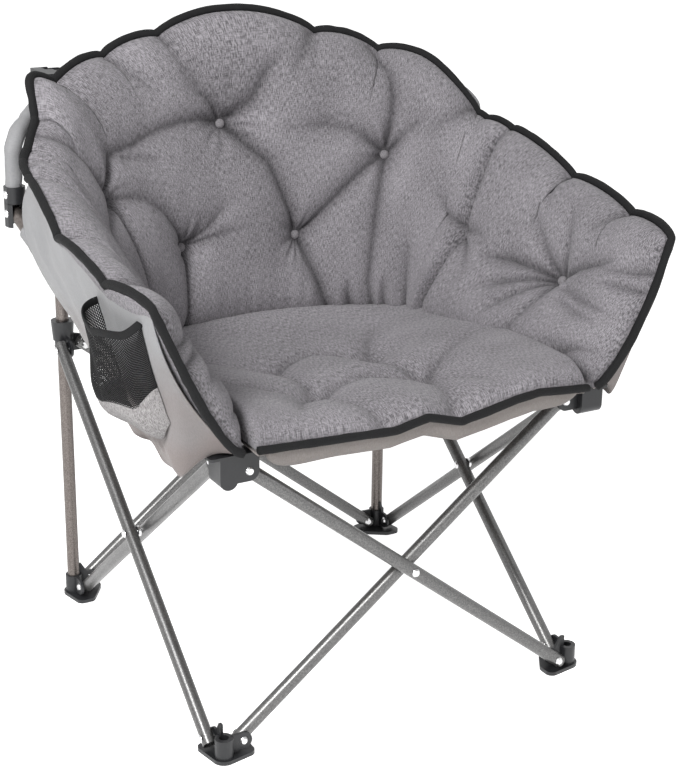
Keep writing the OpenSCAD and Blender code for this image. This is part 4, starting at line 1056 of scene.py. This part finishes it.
def side_edge():
    """The side's rim from the seam to the tip, then down its front edge, with outward directions."""
    rim_w = np.linspace(0, 1, 121)
    front_v = np.linspace(1, 0, 81)[1:]
    w = np.concatenate([rim_w, np.ones_like(front_v)])
    v = np.concatenate([np.ones_like(rim_w), front_v])
    points = side_surface(w, v)
    ahead = unit(points - side_surface(w - 0.02, v))
    rim_turn = smooth((rim_w - 0.88) / 0.12) * 0.5
    front_turn = 0.5 + 0.5 * smooth((1 - front_v) / 0.14)
    turn_by = np.concatenate([rim_turn, front_turn])[:, None]
    outs = unit(up_of(side_surface, w, v) * (1 - turn_by) + ahead * turn_by)
    return points + outs * TAPE_OUT, outs


edge_points, edge_outs = side_edge()
for side_name, hand in SIDES:
    mirror = np.array([hand, 1, 1])
    side_tape = tube_piece(side_name + "_tape", edge_points * mirror, edge_outs * mirror, TAPE_WIDE,
                           TAPE_THICK, tape_cloth, 300, 14, 0.1, 4 + hand)
    settle(side_tape, side_name + "_post", [side_name + "_binding"])

front_x = np.linspace(-SEAT_X - 2, SEAT_X + 2, 141)
front_y = 0 * front_x + FRONT_Y
front_line = np.stack([front_x, front_y - 5, seat_level(front_x, front_y)], -1)
seat_tape = tube_piece("seat_tape", front_line, np.tile([0, -1, 0], (141, 1)), TAPE_WIDE, 5.6,
                       tape_cloth, 200, 14, 0.08, 9)
settle(seat_tape, "seat", ["seat_binding"])

# %% [markdown]
# ## Outer shell of the back
# Behind the quilt lies a plain sheet, sewn in with it at the seams. It is one layer of cloth, so a
# grid with a thin wall is enough, with shallow wrinkles where it is stretched over the filling.

# %% Shells
CLOTH_T = 1.4


def cloth_piece(name, place, columns, rows, material, thick=CLOTH_T):
    """A single sheet of cloth with a thin wall, its UV map sized from its own flat size."""
    measure = np.linspace(0, 1, 61)
    grid_u, grid_v = np.meshgrid(measure, measure, indexing="ij")
    points = place(grid_u.ravel(), grid_v.ravel(), 0 * grid_u.ravel()).reshape(61, 61, 3)
    width = float(np.linalg.norm(np.diff(points, axis=0), axis=2).sum(axis=0).max()) / 1000
    length = float(np.linalg.norm(np.diff(points, axis=1), axis=2).sum(axis=1).max()) / 1000
    piece = place_piece(flat_grid(columns, rows), name, place, (width * 1000, length * 1000), material)
    area = sum(face.area for face in piece.data.polygons)
    wall = piece.modifiers.new("wall", "SOLIDIFY")
    wall.thickness = thick / 1000
    wall.offset = 0
    area = min(area, width * length)
    flat, area = (round(width, 3), round(length, 3)), round(area, 4)
    print(name, "flat", *flat, "m, area", area)
    return piece


def back_shell_place(u, v, side):
    x, y = back_flat(u, v)
    ripples = 1.6 * soft_noise(x, y * 0.4, 60, 71) + 0.8 * soft_noise(x, y, 26, 72)
    gap = 6.6 + (3.5 + 2.2 + ripples) * dome(u) * dome(v)
    edge = 4.0 * smooth((v - 0.97) / 0.03)
    return back_surface(u, v) - inward(back_surface, u, v) * (gap - edge)[:, None]


back_cover = cloth_piece("back_cover", back_shell_place, 150, 70, shell_cloth)
settle(back_cover, "back_middle", ["back_shell"])


# %% [markdown]
# ## Outer shells of the sides
# Each side's shell falls from the rim, passes over the arm like a sling and ends in a hem below it. A
# smooth curve through rim, waist and hem gives every vertical section. The waist keeps clear of the
# arm, and near the front it closes up against the pad.

# %% Side shells
ARM_REAR = np.array([400.0, 181.0, 695.0])
ARM_FRONT = np.array([338.0, -270.0, 455.0])


def arm_at(y):
    share = np.clip((ARM_REAR[1] - y) / (ARM_REAR[1] - ARM_FRONT[1]), -0.2, 1.2)
    return mix(ARM_REAR[None, :], ARM_FRONT[None, :], share[:, None])


def skin_place(hand, seed):
    def place(w, v, side):
        rim, base, middle = [side_surface(w, 0 * w + v_at) - inward(side_surface, w, 0 * w + v_at) * away
                             for v_at, away in ((1.0, 2.5), (0.0, 6.5), (0.5, 12.0))]
        arm = arm_at(mix(SEAM_Y, FRONT_Y, w))
        close = smooth((w - 0.86) / 0.14)[:, None]
        swell = 19 + 7 * smooth((w - 0.55) / 0.31)
        waist = arm + np.stack([swell, 0 * w, 18 * w], -1)
        waist = mix(waist, middle, close)
        hem_low = np.minimum(arm[:, 2] - 18, mix(SEAM_Z - 4, 474.0, smooth((w - 0.5) / 0.36)))
        hem_low = mix(hem_low, 474.0 + 0 * w, smooth((w - 0.74) / 0.12))
        hem = np.stack([arm[:, 0] + 1 + 8 * smooth((w - 0.6) / 0.15), arm[:, 1], hem_low], -1)
        hem = mix(base - np.array([0, 0, 8.0]), hem, smooth(w / 0.6)[:, None])
        hem = mix(hem, base, close)
        pull = 2 * waist - (hem + rim) / 2
        vv = v[:, None]
        points = hem * (1 - vv) ** 2 + pull * 2 * vv * (1 - vv) + rim * vv ** 2
        long = w * 420
        ripple = 3.2 * soft_noise(long + v * 160, v * 90, 46, seed)
        ripple = ripple + 1.4 * soft_noise(long, v * 300, 22, seed + 1)
        lower = 3.0 * soft_noise(long - v * 120, v * 160, 30, seed + 2) * (1 - v) ** 1.5
        points[:, 0] += (ripple + lower) * dome(v, 8) * dome(w, 6)
        return points * np.array([hand, 1, 1])
    return place


for side_name, hand, seed in (("right", 1, 81), ("left", -1, 91)):
    skin = cloth_piece(side_name + "_skin", skin_place(hand, seed), 110, 84, shell_cloth)
    settle(skin, side_name + "_post", [side_name + "_side_shell"])

# %% [markdown]
# ## Sling and front strip
# Under the seat pad hangs a plain sheet that carries the weight. Its front end turns down behind
# the binding and shows as a narrow beige strip, which sags with the front edge.

# %% Sling and front strip
def sling_place(u, q, side):
    x, y = seat_plan(u, q)
    wrinkles = 1.2 * soft_noise(x, y, 40, 61) * dome(u) * dome(q)
    below = 9.0 + 4.0 * dome(u, 3) * dome(q, 3) + wrinkles
    return np.stack([x, y, seat_level(x, y) - below], -1)


def strip_place(u, v, side):
    x = mix(-SEAT_X, SEAT_X, u) * 0.95
    height = 30 * (0.82 + 0.18 * soft_noise(x, 0 * x, 90, 62)) * dome(u, 14) ** 0.5
    ripples = 1.2 * soft_noise(x, v * 30, 34, 63) * np.sin(math.pi * v)
    y = FRONT_Y - 2.0 + 9 * v ** 3 + ripples
    return np.stack([x, y, seat_level(x, 0 * x + FRONT_Y) - 5.0 - height * v], -1)


under_sling = cloth_piece("under_sling", sling_place, 80, 70, lining_cloth)
settle(under_sling, "seat", ["seat_sling"])
front_strip = cloth_piece("front_strip", strip_place, 160, 14, lining_cloth)
settle(front_strip, "seat", ["seat_sling"])

# %% [markdown]
# ## Buttons
# Each button is a domed disc in the quilt's own cloth, gathered behind. A profile turned round its
# axis gives the dome, and a few shallow flutes near its edge are the cloth's gathers. Every
# button sits where the pad is pulled in.

# %% Buttons
def button(name, body, nodes, surface, thickness, u, v, hand=1, radius=7.4, lift=1.6):
    """One covered button on a pad's face."""
    at_u, at_v = np.array([u]), np.array([v])
    facing = inward(surface, at_u, at_v)[0]
    centre = surface(at_u, at_v)[0] + facing * (thickness(at_u, at_v)[0] + lift)
    first = unit(np.cross(facing, [0.0, 0.0, 1.0]))
    second = np.cross(facing, first)

    def place(share, run, side):
        angle = 2 * math.pi * share
        flute = 1 + 0.035 * np.cos(11 * angle) * run ** 3
        out = radius * np.sin(math.pi * 0.64 * run) * flute
        high = 4.6 * np.cos(math.pi * 0.64 * run) - 1.0
        level_part = first * (out * np.cos(angle))[:, None] + second * (out * np.sin(angle))[:, None]
        return (centre + level_part + facing * high[:, None]) * np.array([hand, 1, 1])

    made = place_piece(flat_grid(33, 12), name, place, (50, 14), button_cloth, weld=True)
    return settle(made, body, nodes)


for count, (theta, v) in enumerate(BACK_TUFTS):
    button("back_button_" + str(count + 1), "back_middle", ["back_trim"], back_surface, back_thickness,
           (theta + 90) / 180, v)
for side_name, hand, seed in (("right", 1, 11), ("left", -1, 31)):
    for which, tuft in (("side", SIDE_TUFT), ("seam", SEAM_TUFT)):
        button(side_name + "_" + which + "_button", side_name + "_post", [side_name + "_button"],
               side_surface, lambda w, v: side_thickness(w, v, seed), *tuft, hand)

# %% [markdown]
# ## Arm sleeves
# The arms run through sleeves of shell cloth. A sleeve is a little wider than its tube, so it
# shows rings of small wrinkles, bunched towards the lower end.

# %% Arm sleeves
for side_name, hand in SIDES:
    mirror = np.array([hand, 1, 1])
    line = np.array([mix(ARM_REAR, ARM_FRONT, share) for share in np.linspace(0.085, 0.925, 60)]) * mirror
    sleeve = tube_piece(side_name + "_arm_sleeve", line, np.tile([0, 0, 1], (60, 1)), 13.2, 12.6,
                        shell_cloth, 170, 22, 0.1, 21 + hand)
    settle(sleeve, side_name + "_arm", ["arm_sleeve_" + side_name])

# %% [markdown]
# ### Side rail sleeves
# The bent rail above each elbow wears the same pale cloth, cut a little long so that it gathers in
# rings. Its line is straight up from the elbow, round the bend and on to the bracket.

# %% Side rail sleeves
for side_name, hand in SIDES:
    low, bend, high = np.array([[400, 181, 728], [400, 181, 805], [323, 265, 838]], dtype=float)
    share = np.linspace(0, 1, 40)[:, None]
    near, far = mix(low, bend, 0.62), mix(bend, high, 0.35)
    curve = near * (1 - share) ** 2 + bend * 2 * share * (1 - share) + far * share ** 2
    line = np.concatenate([low[None], curve, high[None]]) * np.array([hand, 1, 1])
    around_rail = np.tile([0.0, 1.0, 0.0], (len(line), 1))
    sleeve = tube_piece(side_name + "_rail_sleeve", line, around_rail, 12.2, 11.8,
                        shell_cloth, 120, 20, 0.1, 31 + hand)
    settle(sleeve, side_name + "_post", [], soft=False)

# %% [markdown]
# ## Mesh pocket
# The pocket on the left side is a black net of small diamonds, bound along its mouth, with a
# cuff of heathered cloth below. The net has real holes: a grid turned by 45 degrees, every face
# inset, the inner faces taken out, and the strands given a wall. AWAY is the direction in which
# the pocket hangs off the shell, and its heights are shares of the shell's own height.

# %% Mesh pocket
POCKET_REAR = 0.6
POCKET_FRONT = 0.925
POCKET_MOUTH = 34.0
POCKET_BULGE = 50.0
AWAY = np.array([-0.956, 0.0, -0.292])
left_skin_at = skin_place(-1, 91)


def pocket_at(u, v, depth):
    """u goes round the pocket from its rear to its front edge, v is the height on the shell."""
    u = np.clip(u, 0, 1)
    along = mix(POCKET_REAR, POCKET_FRONT, (1 - np.cos(math.pi * u)) / 2)
    dent = 7 * np.exp(-((u - 0.3) / 0.1) ** 2 - ((v - 0.8) / 0.06) ** 2)
    slack = 2.2 * soft_noise(u * 200, v * 260, 34, 67)
    reach = mix(POCKET_MOUTH, POCKET_BULGE, smooth((0.93 - v) / 0.22)) * depth + slack - dent
    bow = np.sin(math.pi * u ** 0.75) ** 1.3 * reach
    return left_skin_at(along, v, 0 * u) + AWAY * (bow + 2.0)[:, None]


def net_low(u):
    return mix(0.61, 0.755, smooth(u / 0.7)) - 0.02 * smooth((u - 0.8) / 0.2)


def net_place(u, v, side):
    return pocket_at(u, mix(net_low(u), 0.9 + 0.045 * u, v), 1 + 0 * u)


def net_shape(wide, high, pitch):
    """A diamond net in a rectangle, scaled to 0 to 1 both ways."""
    shape = bmesh.new()
    count = int(1.5 * max(wide, high) / pitch)
    bmesh.ops.create_grid(shape, x_segments=count, y_segments=count, size=count * pitch / 2)
    bmesh.ops.rotate(shape, verts=shape.verts, cent=(0, 0, 0), matrix=Matrix.Rotation(math.pi / 4, 3, "Z"))
    bmesh.ops.scale(shape, verts=shape.verts, vec=(1.0, 0.72, 1))
    for side in ((1, 0), (-1, 0), (0, 1), (0, -1)):
        bmesh.ops.bisect_plane(shape, geom=shape.verts[:] + shape.edges[:] + shape.faces[:], dist=1e-5,
                               plane_co=(side[0] * wide / 2, side[1] * high / 2, 0),
                               plane_no=(side[0], side[1], 0), clear_outer=True)
    whole = shape.faces[:]
    bmesh.ops.inset_individual(shape, faces=whole, thickness=0.5, use_even_offset=True)
    bmesh.ops.delete(shape, geom=whole, context="FACES")
    bmesh.ops.translate(shape, verts=shape.verts, vec=(wide / 2, high / 2, 0))
    bmesh.ops.scale(shape, verts=shape.verts, vec=(1 / wide, 1 / high, 1))
    return shape


NET_WIDE = 202.0
NET_HIGH = 96.0
pocket_net = place_piece(net_shape(NET_WIDE, NET_HIGH, 3.3), "pocket_net", net_place,
                         (NET_WIDE, NET_HIGH), tape_cloth)
strand = pocket_net.modifiers.new("strand", "SOLIDIFY")
strand.thickness = 0.0008
strand.offset = 0
settle(pocket_net, "left_post", ["mesh_pocket"])


def cuff_place(u, s, side):
    """The cloth cuff, from its bottom on the shell up to the net."""
    top = net_low(u) + 0.005
    low = mix(0.5, 0.62, smooth(u / 0.75)) - 0.04 * smooth((u - 0.75) / 0.25)
    depth = 0.98 * np.sin(0.5 * math.pi * np.clip(s * 1.2 + 0.04, 0, 1)) ** 0.75
    points = pocket_at(u, mix(low, top, s), depth)
    creases = 1.5 * soft_noise(u * 200 + s * 40, s * 60, 20, 68)
    return points + AWAY * (creases * np.sin(math.pi * u) * np.sin(math.pi * s))[:, None]


pocket_cuff = cloth_piece("pocket_cuff", cuff_place, 90, 40, gusset_cloth)
settle(pocket_cuff, "left_post", ["mesh_pocket"])
mouth_u = np.linspace(0, 1, 80)
mouth = net_place(mouth_u, np.ones_like(mouth_u), 0)
mouth_up = unit(mouth - net_place(mouth_u, 0.9 * np.ones_like(mouth_u), 0))
pocket_band = tube_piece("pocket_band", mouth, mouth_up, 5.5, 1.6, tape_cloth, 110, 12, 0.05, 66)
settle(pocket_band, "left_post", ["mesh_pocket"])

# %% Finish
scene.view_settings.view_transform = "Standard"
